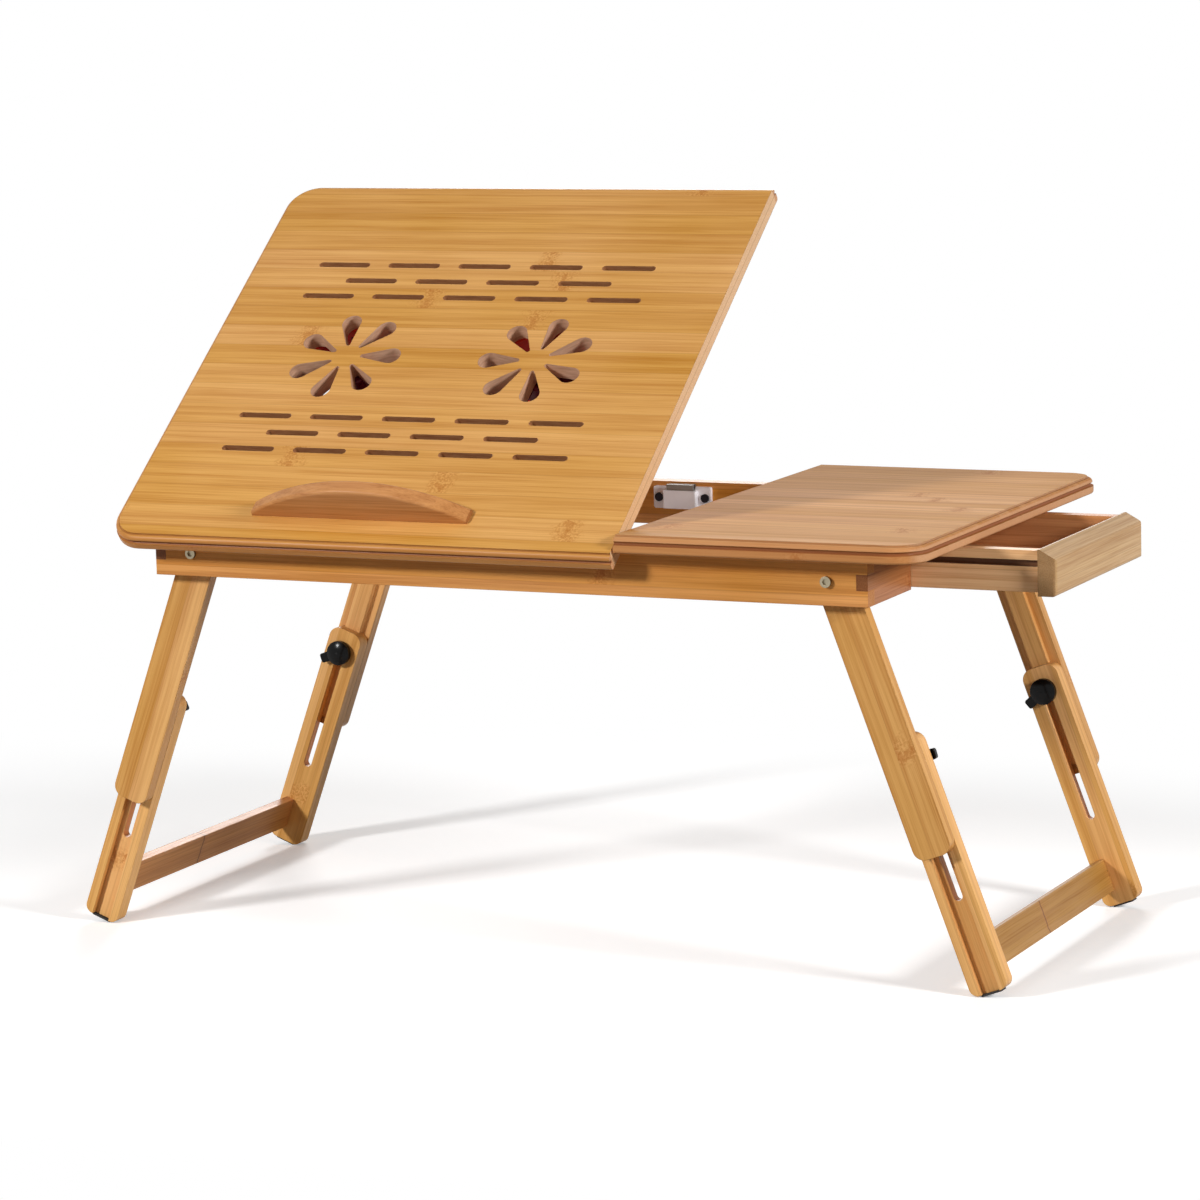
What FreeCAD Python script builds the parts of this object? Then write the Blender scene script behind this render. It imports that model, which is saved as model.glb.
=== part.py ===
import FreeCAD, Part
import math
import os

import Sketcher

# Folding bamboo laptop table: a tilting vented panel over two cooling fans, a fixed side top
# with a drawer under it, and two pairs of telescoping legs.  Millimetres, +X to the right
# along the front, +Y to the back, +Z up.  Everything is laid out from the frame's front left
# corner at the level of its top, and carried at the end to an origin on the floor, in the
# middle of the model's box.

SIZES = {
    # frame box
    "frame_long": 500.0,
    "frame_deep": 306.5,
    "rail_tall": 30.0,
    "board": 11.0,
    "end_board": 7.5,
    "stub_long": 72.7,
    # tops
    "top_thick": 11.4,
    "front_overhang": 20.5,
    "back_overhang": 18.5,
    "left_overhang": 24.0,
    "right_overhang": 40.0,
    "seam_at": 338.2,
    "seam_gap": 1.3,
    "corner_round": 22.0,
    "lift": 0.3,
    "quirk_in": 4.2,
    "quirk_deep": 1.1,
    "bead_in": 0.7,
    "bead_round": 2.8,
    "cove_round": 1.2,
    "under_round": 1.8,
    # vent cut-outs in the tilting panel
    "slot_length": 38.8,
    "slot_width": 4.6,
    "slot_pitch": 53.2,
    "row_pitch": 15.55,
    "upper_rows_at": 211.6,
    "lower_rows_at": 64.3,
    "vents_middle": 154.6,
    "flower_spread": 138.6,
    "flower_at": 153.6,
    "petal_tip": 40.0,
    "petal_root": 10.4,
    "petal_round": 7.0,
    "petal_point": 1.5,
    "left_petal_turn": 2.0,
    "right_petal_turn": 27.7,
    # laptop stop
    "stop_long": 155.0,
    "stop_tall": 25.0,
    "stop_end_tall": 3.2,
    "stop_thick": 11.0,
    "stop_at": 3.5,
    "stop_round": 2.0,
    # tilt hinges
    "tilt": 37.24,
    "hinge_out": 2.6,
    "hinge_down": 2.6,
    "knuckle_round": 2.3,
    "knuckle_gap": 0.3,
    "hinge_pin_round": 1.1,
    "pin_play": 0.06,
    "leaf_wide": 34.0,
    "leaf_reach": 21.0,
    "leaf_drop": 12.0,
    "leaf_thick": 1.5,
    "left_hinge_at": 66.0,
    "right_hinge_at": 262.0,
    "leaf_screw_spread": 20.0,
    "leaf_screw_inset": 3.7,
    # prop, racks and battens
    "prop_apart": 36.0,
    "prop_long": 105.1,
    "prop_drop": 1.4,
    "prop_deep": 7.0,
    "prop_wide": 7.4,
    "rod_round": 1.5,
    "rod_play": 0.06,
    "bearing_wide": 8.0,
    "bearing_deep": 9.0,
    "bearing_lip": 0.7,
    "bearing_gap": 0.6,
    "rack_thick": 8.0,
    "rack_gap": 0.4,
    "batten_wide": 16.0,
    "batten_thick": 6.0,
    "rack_front": 154.0,
    "rack_long": 64.0,
    "notch_round": 3.8,
    "notch_pitch": 10.0,
    "notch_deep": 3.0,
    # fans
    "fan_wide": 80.0,
    "fan_tall": 15.0,
    "fan_bore": 38.0,
    "fan_corner": 5.0,
    "fan_screw_pitch": 71.5,
    "fan_flange": 3.0,
    "fan_waist_round": 39.6,
    "motor_plate": 2.4,
    "strut_wide": 4.0,
    "hub_round": 15.0,
    "hub_gap": 0.8,
    "hub_edge_round": 1.5,
    "blade_root_wide": 9.0,
    "blade_tip_wide": 15.0,
    "blade_tip_at": 34.8,
    "blade_thick": 1.3,
    "blade_root_lean": 52.0,
    "blade_tip_lean": 30.0,
    "shaft_round": 1.5,
    "shaft_play": 0.05,
    # drawer
    "drawer_open": 84.0,
    "drawer_wall": 9.0,
    "drawer_top_gap": 2.4,
    "drawer_tall": 26.0,
    "drawer_gap": 0.5,
    "drawer_end_gap": 2.6,
    "front_gap": 0.3,
    "front_thick": 12.0,
    "front_lap": 3.95,
    "front_tall": 29.0,
    "front_top_gap": 1.2,
    "front_bevel_in": 10.8,
    "front_bevel_down": 6.0,
    "front_round": 2.5,
    "groove_down": 6.1,
    "groove_tall": 4.0,
    "groove_deep": 4.0,
    "runner_gap": 0.3,
    "bottom_thick": 3.0,
    "bottom_lift": 1.5,
    "bottom_groove": 3.0,
    # legs
    "leg_wide": 25.4,
    "leg_gap": 0.3,
    "upper_thick": 8.6,
    "slide_gap": 0.3,
    "lower_thick": 11.0,
    "channel_wide": 12.8,
    "channel_deep": 4.2,
    "tongue_start": 24.0,
    "upper_long": 181.5,
    "lower_start": 105.0,
    "lower_end": 271.8,
    "leg_corner": 7.5,
    "foot_round": 5.5,
    "pad_thick": 1.2,
    "pad_wide": 14.0,
    "pad_deep": 8.0,
    "leg_slot_wide": 6.0,
    "travel": 88.0,
    "knob_at": 121.5,
    "splay": 20.45,
    "stop_gap": 0.3,
    "pivot_down": 15.0,
    "crossbar_start": 240.0,
    "crossbar_wide": 22.0,
    "crossbar_thick": 6.0,
    "crossbar_offset": -5.0,
    "crossbar_tenon": 4.0,
    # knobs, pivots and screws
    "knob_gap": 0.3,
    "knob_round": 8.7,
    "neck_round": 6.6,
    "neck_tall": 1.6,
    "rim_tall": 3.6,
    "dome_tall": 2.2,
    "tab_tip": 14.6,
    "tab_wide": 6.8,
    "tab_tall": 3.2,
    "tab_corner": 1.6,
    "left_front_tab": -42.5,
    "left_back_tab": 141.5,
    "right_front_tab": 3.5,
    "right_back_tab": 157.5,
    "stud_round": 2.5,
    "stud_play": 0.05,
    "insert_round": 3.8,
    "insert_deep": 8.6,
    "pivot_round": 3.0,
    "pivot_play": 0.06,
    "pivot_head_round": 3.5,
    "pivot_head_tall": 2.4,
    "socket_across": 3.4,
    "socket_deep": 1.6,
    "nut_across": 10.0,
    "nut_tall": 4.0,
    "bolt_end": 1.0,
    "screw_round": 1.5,
    "screw_head_round": 3.0,
    "screw_head_tall": 1.2,
    "screw_long": 8.0,
    # magnetic catch
    "catch_at": 247.0,
    "catch_wide": 43.0,
    "catch_tall": 15.4,
    "catch_top_gap": 3.0,
    "catch_ear": 3.0,
    "catch_box_wide": 24.0,
    "catch_box_deep": 8.5,
    "catch_box_tall": 12.5,
    "catch_box_top_gap": 5.4,
    "catch_round": 1.5,
    "pole_wide": 20.0,
    "pole_thick": 1.4,
    "pole_top_gap": 1.3,
    "pole_seat": 9.0,
    "magnet_thick": 2.6,
    "magnet_below": 3.0,
    "catch_screw_pitch": 34.6,
    "strike_wide": 26.0,
    "strike_deep": 10.5,
    "strike_thick": 1.0,
    "strike_gap": 1.0,
}

doc = FreeCAD.newDocument("laptop_table")
sheet = doc.addObject("Spreadsheet::Sheet", "Sizes")
for row, (alias, value) in enumerate(SIZES.items(), start=1):
    sheet.set("A%d" % row, alias)
    sheet.set("B%d" % row, str(value))
    sheet.setAlias("B%d" % row, alias)
doc.recompute()

V = FreeCAD.Vector
X_AXIS = V(1, 0, 0)
Y_AXIS = V(0, 1, 0)
Z_AXIS = V(0, 0, 1)
NODES = []


def cells(expression):
    """An expression of bare aliases, such as "board + lift", as setExpression wants it."""
    words = []
    word = ""
    for letter in expression + " ":
        if letter.isalpha() or letter == "_":
            word += letter
            continue
        words.append("Sizes." + word if word in SIZES else word)
        words.append(letter)
        word = ""
    return "".join(words).strip()


def value_of(expression):
    """What an expression of bare aliases comes to."""
    result = sheet.evalExpression(cells(expression))
    return float(getattr(result, "Value", result))


def point(x, y, z):
    return V(value_of(x), value_of(y), value_of(z))


def node(item, label):
    """Names a finished sub-part, which becomes one file."""
    item.Label = label
    NODES.append(item)
    return item


# Lines that several pieces share, as expressions of the sheet's values.
PARTITION_LEFT = "(seam_at + seam_gap / 2 - board / 2)"
PARTITION_RIGHT = "(seam_at + seam_gap / 2 + board / 2)"
PIVOT_IN = ("(end_board + stop_gap + (rail_tall - pivot_down) * tan(splay * 1deg)"
            " + leg_wide / 2 / cos(splay * 1deg))")
UPPER_FACE = "(board + leg_gap)"
TONGUE_FACE = "(board + leg_gap + upper_thick + channel_deep)"
LOWER_FACE = "(board + leg_gap + upper_thick + slide_gap)"
LOWER_INNER = "(board + leg_gap + upper_thick + slide_gap + lower_thick)"
KNOB_FACE = "(board + leg_gap + upper_thick + slide_gap + lower_thick + knob_gap)"
STUD_REACH = "(knob_gap + lower_thick + slide_gap - channel_deep + insert_deep - 1)"
NUT_FACE = LOWER_FACE
PANEL_TOP = "(lift + top_thick)"
ROD_AT = "(prop_long - hinge_out)"
ROD_HIGH = "(-hinge_down - prop_drop)"
RACK_CREST = "(-hinge_down - prop_drop - prop_deep / 2 - rack_gap)"
BATTEN_TOP = "(-rail_tall + batten_thick)"
LEFT_ARM = "(vents_middle - prop_apart / 2)"
RIGHT_ARM = "(vents_middle + prop_apart / 2)"
LEFT_FLOWER = "(vents_middle - flower_spread / 2)"
RIGHT_FLOWER = "(vents_middle + flower_spread / 2)"
FRONT_BOARD_AT = "(frame_long + front_gap + drawer_open)"
DRAWER_BACK_AT = "(" + PARTITION_RIGHT + " + drawer_end_gap + drawer_open)"
DRAWER_FACE = "(stub_long + drawer_gap)"
DRAWER_LOW = "(-drawer_top_gap - drawer_tall)"
CATCH_FACE = "(frame_deep - board)"


def across(back, expression):
    """A depth measured from the frame's front face, or from its back face."""
    return "(frame_deep - " + expression + ")" if back else expression


# ---------------------------------------------------------------- sketches and features

def sketch_on(body, role, offset="0", middle=("0", "0"), turn="0"):
    """A sketch on one of the body's origin planes, moved along the plane's normal and in it."""
    sketch = body.newObject("Sketcher::SketchObject", body.Name + "_sketch")
    plane = [f for f in body.Origin.OriginFeatures if f.Role == role][0]
    sketch.AttachmentSupport = [(plane, "")]
    sketch.MapMode = "FlatFace"
    spin = FreeCAD.Rotation(Z_AXIS, value_of(turn))
    sketch.AttachmentOffset = FreeCAD.Placement(V(0, 0, 0), spin)
    for axis, expression in zip("xyz", (middle[0], middle[1], offset)):
        sketch.setExpression("AttachmentOffset.Base." + axis, cells(expression))
    return sketch


def depth_sketch(body, back, depth):
    """A sketch facing the front or the back, at a depth from that face of the frame."""
    return sketch_on(body, "XZ_Plane", "-" + across(back, depth))


def tie(sketch, kind, *places):
    """Adds a dimension and binds it to the sheet."""
    expression = places[-1]
    index = sketch.addConstraint(Sketcher.Constraint(kind, *places[:-1], value_of(expression)))
    sketch.setExpression("Constraints[%d]" % index, cells(expression))


def pin_point(sketch, geometry, position, place):
    """Ties one point of a sketch to the sketch's own axes."""
    tie(sketch, "DistanceX", -1, 1, geometry, position, place[0])
    tie(sketch, "DistanceY", -1, 1, geometry, position, place[1])


def polygon(sketch, places):
    """A closed outline of straight lines."""
    spots = [point(a, b, "0") for a, b in places]
    first = sketch.GeometryCount
    count = len(spots)
    for i in range(count):
        sketch.addGeometry(Part.LineSegment(spots[i], spots[(i + 1) % count]), False)
    for i in range(count):
        following = first + (i + 1) % count
        sketch.addConstraint(Sketcher.Constraint("Coincident", first + i, 2, following, 1))
        pin_point(sketch, first + i, 1, places[i])


def rectangle(sketch, left, low, right, high):
    polygon(sketch, [(left, low), (right, low), (right, high), (left, high)])


def circle(sketch, centre, radius):
    index = sketch.addGeometry(
        Part.Circle(point(centre[0], centre[1], "0"), Z_AXIS, value_of(radius)), False)
    pin_point(sketch, index, 3, centre)
    tie(sketch, "Radius", index, radius)


def capsule(sketch, start, end, start_radius, end_radius):
    """A closed outline of two round ends joined by their outer tangents."""
    a = point(start[0], start[1], "0")
    b = point(end[0], end[1], "0")
    ra = value_of(start_radius)
    rb = value_of(end_radius)
    along = math.atan2(b.y - a.y, b.x - a.x)
    lean = math.acos((ra - rb) / (b - a).Length)
    left = along + lean
    right = along - lean

    def spot(centre, radius, angle):
        return centre + V(radius * math.cos(angle), radius * math.sin(angle), 0)

    first = sketch.GeometryCount
    turn = 2 * math.pi
    sketch.addGeometry(Part.ArcOfCircle(Part.Circle(a, Z_AXIS, ra), left, right + turn), False)
    sketch.addGeometry(Part.LineSegment(spot(a, ra, right), spot(b, rb, right)), False)
    sketch.addGeometry(Part.ArcOfCircle(Part.Circle(b, Z_AXIS, rb), right, left), False)
    sketch.addGeometry(Part.LineSegment(spot(b, rb, left), spot(a, ra, left)), False)
    for i in range(4):
        following = first + (i + 1) % 4
        sketch.addConstraint(Sketcher.Constraint("Tangent", first + i, 2, following, 1))
    pin_point(sketch, first, 3, start)
    pin_point(sketch, first + 2, 3, end)
    tie(sketch, "Radius", first, start_radius)
    tie(sketch, "Radius", first + 2, end_radius)


def arch(sketch, half, crown, foot):
    """A closed outline with a half-round top round the point crown and a square foot."""
    r = value_of(half)
    top = value_of(crown)
    low = value_of(foot)
    centre = Part.Circle(V(0, top, 0), Z_AXIS, r)
    sketch.addGeometry(Part.ArcOfCircle(centre, 0, math.pi), False)
    sketch.addGeometry(Part.LineSegment(V(-r, top, 0), V(-r, low, 0)), False)
    sketch.addGeometry(Part.LineSegment(V(-r, low, 0), V(r, low, 0)), False)
    sketch.addGeometry(Part.LineSegment(V(r, low, 0), V(r, top, 0)), False)
    sketch.addConstraint(Sketcher.Constraint("Tangent", 0, 2, 1, 1))
    sketch.addConstraint(Sketcher.Constraint("Coincident", 1, 2, 2, 1))
    sketch.addConstraint(Sketcher.Constraint("Coincident", 2, 2, 3, 1))
    sketch.addConstraint(Sketcher.Constraint("Tangent", 3, 2, 0, 1))
    sketch.addConstraint(Sketcher.Constraint("Vertical", 1))
    sketch.addConstraint(Sketcher.Constraint("Horizontal", 2))
    pin_point(sketch, 0, 3, ("0", crown))
    tie(sketch, "Radius", 0, half)
    tie(sketch, "DistanceY", -1, 1, 2, 2, foot)


def pad(body, sketch, length, reverse=False):
    feature = body.newObject("PartDesign::Pad", body.Name + "_pad")
    feature.Profile = sketch
    feature.setExpression("Length", cells(length))
    feature.Reversed = reverse
    body.Tip = feature
    return feature


def pocket(body, sketch, depth, reverse=False):
    """Cuts a sketch into the body to a depth, and checks that something was cut."""
    doc.recompute()
    before = body.Shape.Volume
    feature = body.newObject("PartDesign::Pocket", body.Name + "_pocket")
    feature.Profile = sketch
    feature.Reversed = reverse
    feature.setExpression("Length", cells(depth))
    body.Tip = feature
    doc.recompute()
    if not body.Shape.Volume < before:
        raise RuntimeError(body.Name + ": a pocket cut nothing")
    return feature


def row_pattern(body, feature, sketch, count, length):
    pattern = body.newObject("PartDesign::LinearPattern", body.Name + "_row")
    pattern.Originals = [feature]
    pattern.Direction = (sketch, ["H_Axis"])
    pattern.Occurrences = count
    pattern.setExpression("Length", cells(length))
    body.Tip = pattern
    return pattern


def ring_pattern(body, feature, sketch, count):
    pattern = body.newObject("PartDesign::PolarPattern", body.Name + "_ring")
    pattern.Originals = [feature]
    pattern.Axis = (sketch, ["N_Axis"])
    pattern.Occurrences = count
    pattern.Angle = 360
    body.Tip = pattern
    return pattern


def edges_of(body, wanted):
    """Names of the body's edges that a test of middle point and direction accepts."""
    doc.recompute()
    names = []
    for index, edge in enumerate(body.Shape.Edges, start=1):
        halfway = (edge.FirstParameter + edge.LastParameter) / 2
        if wanted(edge.valueAt(halfway), edge.tangentAt(halfway)):
            names.append("Edge%d" % index)
    return names


def fillet(body, wanted, radius):
    names = edges_of(body, wanted)
    base = body.Tip
    feature = body.newObject("PartDesign::Fillet", body.Name + "_fillet")
    feature.Base = (base, names)
    feature.setExpression("Radius", cells(radius))
    body.Tip = feature
    return feature


def near(a, b):
    return abs(a - b) < 0.01


# ---------------------------------------------------------------- plain solids

def box(name, lengths, corner):
    """A plain block from its sides and its lowest corner."""
    block = doc.addObject("Part::Box", name)
    for side, expression in zip(("Length", "Width", "Height"), lengths):
        block.setExpression(side, cells(expression))
    block.Placement.Base = point(*corner)
    return block


def rod(name, radius, length, start, axis):
    """A plain cylinder that starts at a point and runs along an axis."""
    cylinder = doc.addObject("Part::Cylinder", name)
    cylinder.setExpression("Radius", cells(radius))
    cylinder.setExpression("Height", cells(length))
    cylinder.Placement = FreeCAD.Placement(point(*start), FreeCAD.Rotation(Z_AXIS, axis))
    return cylinder


def hexagon(name, flats, length, start, axis):
    """A six-sided bar that starts at a point and runs along an axis."""
    prism = doc.addObject("Part::Prism", name)
    prism.Polygon = 6
    prism.setExpression("Circumradius", cells(flats + " / 2 / cos(30deg)"))
    prism.setExpression("Height", cells(length))
    prism.Placement = FreeCAD.Placement(point(*start), FreeCAD.Rotation(Z_AXIS, axis))
    return prism


def fuse(name, shapes):
    joined = doc.addObject("Part::MultiFuse", name)
    joined.Shapes = shapes
    return joined


def cut(name, base, tool):
    result = doc.addObject("Part::Cut", name)
    result.Base = base
    result.Tool = tool
    return result


def together(label, items):
    """One node that holds several separate solids."""
    bunch = doc.addObject("Part::Compound", label)
    bunch.Links = items
    return node(bunch, label)


def flat_screw(name, head, axis):
    """A countersunk wood screw: its head lies at a point and its shank runs along an axis."""
    cone = doc.addObject("Part::Cone", name + "_head")
    cone.setExpression("Radius1", cells("screw_head_round"))
    cone.setExpression("Radius2", cells("screw_round"))
    cone.setExpression("Height", cells("leaf_thick"))
    cone.Placement = FreeCAD.Placement(point(*head), FreeCAD.Rotation(Z_AXIS, axis))
    shank = rod(name + "_shank", "screw_round", "screw_long", head, axis)
    return fuse(name, [cone, shank])


def round_screw(name, seat, axis, length):
    """A pan-head screw: the underside of its head is at a point and its shank runs on."""
    head = rod(name + "_head", "screw_head_round", "screw_head_tall", seat, -axis)
    shank = rod(name + "_shank", "screw_round", length, seat, axis)
    return fuse(name, [head, shank])


# ---------------------------------------------------------------- frame

LOW_FINGER = "-2 * rail_tall / 3"
HIGH_FINGER = "-rail_tall / 3"
HINGES = ("left_hinge_at", "right_hinge_at")
SPREADS = ("- leaf_screw_spread / 2", "+ leaf_screw_spread / 2")


def frame_rail(label, back):
    """A long rail whose top and bottom fingers run out to the ends of the frame."""
    body = doc.addObject("PartDesign::Body", label)
    sketch = depth_sketch(body, back, "0")
    polygon(sketch, [
        ("0", "-rail_tall"), ("frame_long", "-rail_tall"), ("frame_long", LOW_FINGER),
        ("frame_long - end_board", LOW_FINGER), ("frame_long - end_board", HIGH_FINGER),
        ("frame_long", HIGH_FINGER), ("frame_long", "0"), ("0", "0"), ("0", HIGH_FINGER),
        ("end_board", HIGH_FINGER), ("end_board", LOW_FINGER), ("0", LOW_FINGER),
    ])
    pad(body, sketch, "board", reverse=not back)
    bores = depth_sketch(body, back, "0")
    circle(bores, (PIVOT_IN, "-pivot_down"), "pivot_round")
    circle(bores, ("frame_long - " + PIVOT_IN, "-pivot_down"), "pivot_round")
    pocket(body, bores, "board", reverse=back)
    if not back:
        pilots = depth_sketch(body, back, "0")
        for hinge in HINGES:
            for spread in SPREADS:
                place = (hinge + spread, "-leaf_drop + leaf_screw_inset")
                circle(pilots, place, "screw_round")
        pocket(body, pilots, "screw_long - leaf_thick", reverse=back)
    else:
        pilots = depth_sketch(body, back, "board")
        for side in ("-", "+"):
            place = ("catch_at " + side + " catch_screw_pitch / 2",
                     "-catch_top_gap - catch_tall / 2")
            circle(pilots, place, "screw_round")
        pocket(body, pilots, "screw_long - catch_ear", reverse=False)
    return node(body, label)


def end_board(label, at_right, back, whole):
    """A board across an end of the frame, its middle finger let into the long rails."""
    body = doc.addObject("PartDesign::Body", label)
    sketch = sketch_on(body, "YZ_Plane", "frame_long - end_board" if at_right else "0")
    if whole:
        far = [
            ("frame_deep - board", "-rail_tall"), ("frame_deep - board", LOW_FINGER),
            ("frame_deep", LOW_FINGER), ("frame_deep", HIGH_FINGER),
            ("frame_deep - board", HIGH_FINGER), ("frame_deep - board", "0"),
        ]
    else:
        far = [(across(back, "stub_long"), "-rail_tall"), (across(back, "stub_long"), "0")]
    near_end = [
        (across(back, "board"), "0"), (across(back, "board"), HIGH_FINGER),
        (across(back, "0"), HIGH_FINGER), (across(back, "0"), LOW_FINGER),
        (across(back, "board"), LOW_FINGER), (across(back, "board"), "-rail_tall"),
    ]
    polygon(sketch, far + near_end)
    pad(body, sketch, "end_board")
    return node(body, label)


def drawer_guide(label, back):
    """A board beside the drawer, with the runner that the drawer side's groove slides on."""
    body = doc.addObject("PartDesign::Body", label)
    sketch = sketch_on(body, "YZ_Plane", PARTITION_RIGHT)
    high = "-drawer_top_gap - groove_down - runner_gap"
    low = "-drawer_top_gap - groove_down - groove_tall + runner_gap"
    tip = "(stub_long + drawer_gap + groove_deep - 2 * runner_gap)"
    polygon(sketch, [
        (across(back, "(stub_long - board)"), "-rail_tall"),
        (across(back, "stub_long"), "-rail_tall"), (across(back, "stub_long"), low),
        (across(back, tip), low), (across(back, tip), high),
        (across(back, "stub_long"), high), (across(back, "stub_long"), "0"),
        (across(back, "(stub_long - board)"), "0"),
    ])
    pad(body, sketch, "frame_long - end_board - " + PARTITION_RIGHT)
    return node(body, label)


def rack(label, middle):
    """A notched strip that takes the foot of one prop arm."""
    body = doc.addObject("PartDesign::Body", label)
    left = middle + " - rack_thick / 2"
    sketch = sketch_on(body, "YZ_Plane", left)
    rectangle(sketch, "rack_front", BATTEN_TOP, "rack_front + rack_long", RACK_CREST)
    pad(body, sketch, "rack_thick")
    notch = sketch_on(body, "YZ_Plane", left)
    open_foot = "2 * prop_long * cos(tilt * 1deg) + prop_drop * sin(tilt * 1deg) - hinge_out"
    circle(notch, (open_foot, RACK_CREST + " + notch_round - notch_deep"), "notch_round")
    first = pocket(body, notch, "rack_thick", reverse=True)
    row_pattern(body, first, notch, 5, "4 * notch_pitch")
    return node(body, label)


def rack_battens():
    """Two slats between the left end and the partition, which the racks stand on."""
    slats = []
    for index, front in enumerate(("rack_front", "rack_front + rack_long - batten_wide")):
        slats.append(box("batten_%d" % index,
                         (PARTITION_LEFT + " - end_board", "batten_wide", "batten_thick"),
                         ("end_board", front, "-rail_tall")))
    return together("rack_battens", slats)


def magnetic_catch():
    """A plastic catch on the back rail: two ears, a box and, in it, two poles and a magnet."""
    body = doc.addObject("PartDesign::Body", "catch_body")
    ears = sketch_on(body, "XZ_Plane", "-" + CATCH_FACE)
    rectangle(ears, "catch_at - catch_wide / 2", "-catch_top_gap - catch_tall",
              "catch_at + catch_wide / 2", "-catch_top_gap")
    pad(body, ears, "catch_ear")
    fillet(body, lambda p, d: abs(d.y) > 0.9, "catch_round")
    front = sketch_on(body, "XZ_Plane", "-" + CATCH_FACE)
    rectangle(front, "catch_at - catch_box_wide / 2", "-catch_box_top_gap - catch_box_tall",
              "catch_at + catch_box_wide / 2", "-catch_box_top_gap")
    pad(body, front, "catch_box_deep")
    wall = "(" + CATCH_FACE + " - (catch_box_deep + magnet_thick) / 2 - pole_thick)"
    seat = sketch_on(body, "XY_Plane", "-catch_top_gap + 1")
    rectangle(seat, "catch_at - pole_wide / 2", wall,
              "catch_at + pole_wide / 2", wall + " + magnet_thick + 2 * pole_thick")
    pocket(body, seat, "catch_box_top_gap - catch_top_gap + 1 + pole_seat")
    holes = sketch_on(body, "XZ_Plane", "-" + CATCH_FACE + " + catch_ear")
    for side in ("-", "+"):
        place = ("catch_at " + side + " catch_screw_pitch / 2",
                 "-catch_top_gap - catch_tall / 2")
        circle(holes, place, "screw_round")
    pocket(body, holes, "catch_ear")
    node(body, "catch_body")

    floor = "-catch_box_top_gap - pole_seat"
    tall = "catch_box_top_gap + pole_seat - pole_top_gap"
    first_pole = box("pole_front", ("pole_wide", "pole_thick", tall),
                     ("catch_at - pole_wide / 2", wall, floor))
    second_pole = box("pole_back", ("pole_wide", "pole_thick", tall),
                      ("catch_at - pole_wide / 2", wall + " + pole_thick + magnet_thick", floor))
    magnet = box("magnet", ("pole_wide", "magnet_thick", tall + " - magnet_below"),
                 ("catch_at - pole_wide / 2", wall + " + pole_thick", floor))
    together("catch_plates", [first_pole, magnet, second_pole])

    screws = []
    for index, side in enumerate(("-", "+")):
        seat_at = ("catch_at " + side + " catch_screw_pitch / 2", CATCH_FACE + " - catch_ear",
                   "-catch_top_gap - catch_tall / 2")
        screws.append(round_screw("catch_screw_%d" % index, seat_at, Y_AXIS, "screw_long"))
    together("catch_screws", screws)


def pivot_hardware():
    """The four socket-head bolts that the legs turn on, with their nuts."""
    bolts = []
    nuts = []
    for back in (False, True):
        inward = Y_AXIS if not back else -Y_AXIS
        for at in (PIVOT_IN, "frame_long - " + PIVOT_IN):
            tag = "pivot_%d" % len(bolts)
            face = (at, across(back, "0"), "-pivot_down")
            head = rod(tag + "_head", "pivot_head_round", "pivot_head_tall", face, -inward)
            shank = rod(tag + "_shank", "pivot_round",
                        NUT_FACE + " + nut_tall + bolt_end", face, inward)
            mouth = (at, across(back, "(-pivot_head_tall)"), "-pivot_down")
            socket = hexagon(tag + "_socket", "socket_across", "socket_deep", mouth, inward)
            bolts.append(cut(tag + "_bolt", fuse(tag + "_blank", [head, shank]), socket))
            seat = (at, across(back, NUT_FACE), "-pivot_down")
            flats = hexagon(tag + "_flats", "nut_across", "nut_tall", seat, inward)
            thread = rod(tag + "_thread", "pivot_round", "nut_tall", seat, inward)
            nuts.append(cut(tag + "_nut", flats, thread))
    together("pivot_bolts", bolts)
    together("pivot_nuts", nuts)


# ---------------------------------------------------------------- tops

def outer_edge(height, seam):
    """Accepts the edges round a top at a height, apart from the square one at the seam."""
    level = value_of(height)
    joint = value_of(seam)
    return lambda p, d: near(p.z, level) and not near(p.x, joint)


def upright_corner(seam):
    joint = value_of(seam)
    return lambda p, d: abs(d.z) > 0.9 and not near(p.x, joint)


def cutter_outline(sketch, top):
    """The moulding cutter's outline at the front edge: a quirk, a quarter bead and a cove."""
    face = "-front_overhang"
    shoulder = top + " - quirk_deep"
    bead = face + " + bead_in"
    waist = shoulder + " - bead_round"
    low = waist + " - 2 * cove_round"
    corners = [
        (bead, low), (face + " - 1", low), (face + " - 1", top + " + 1"),
        (face + " + quirk_in", top + " + 1"), (face + " + quirk_in", shoulder),
        (bead + " + bead_round", shoulder),
    ]
    spots = [point(a, b, "0") for a, b in corners]
    for index in range(5):
        sketch.addGeometry(Part.LineSegment(spots[index], spots[index + 1]), False)
        pin_point(sketch, index, 1, corners[index])
        pin_point(sketch, index, 2, corners[index + 1])
    bead_centre = (bead + " + bead_round", waist)
    bead_arc = Part.Circle(point(*bead_centre, "0"), Z_AXIS, value_of("bead_round"))
    sketch.addGeometry(Part.ArcOfCircle(bead_arc, math.pi / 2, math.pi), False)
    cove_centre = (bead, waist + " - cove_round")
    cove_arc = Part.Circle(point(*cove_centre, "0"), Z_AXIS, value_of("cove_round"))
    sketch.addGeometry(Part.ArcOfCircle(cove_arc, -math.pi / 2, math.pi / 2), False)
    sketch.addConstraint(Sketcher.Constraint("Coincident", 4, 2, 5, 1))
    sketch.addConstraint(Sketcher.Constraint("Coincident", 5, 2, 6, 2))
    sketch.addConstraint(Sketcher.Constraint("Coincident", 6, 1, 0, 1))
    pin_point(sketch, 5, 3, bead_centre)
    pin_point(sketch, 6, 3, cove_centre)


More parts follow.
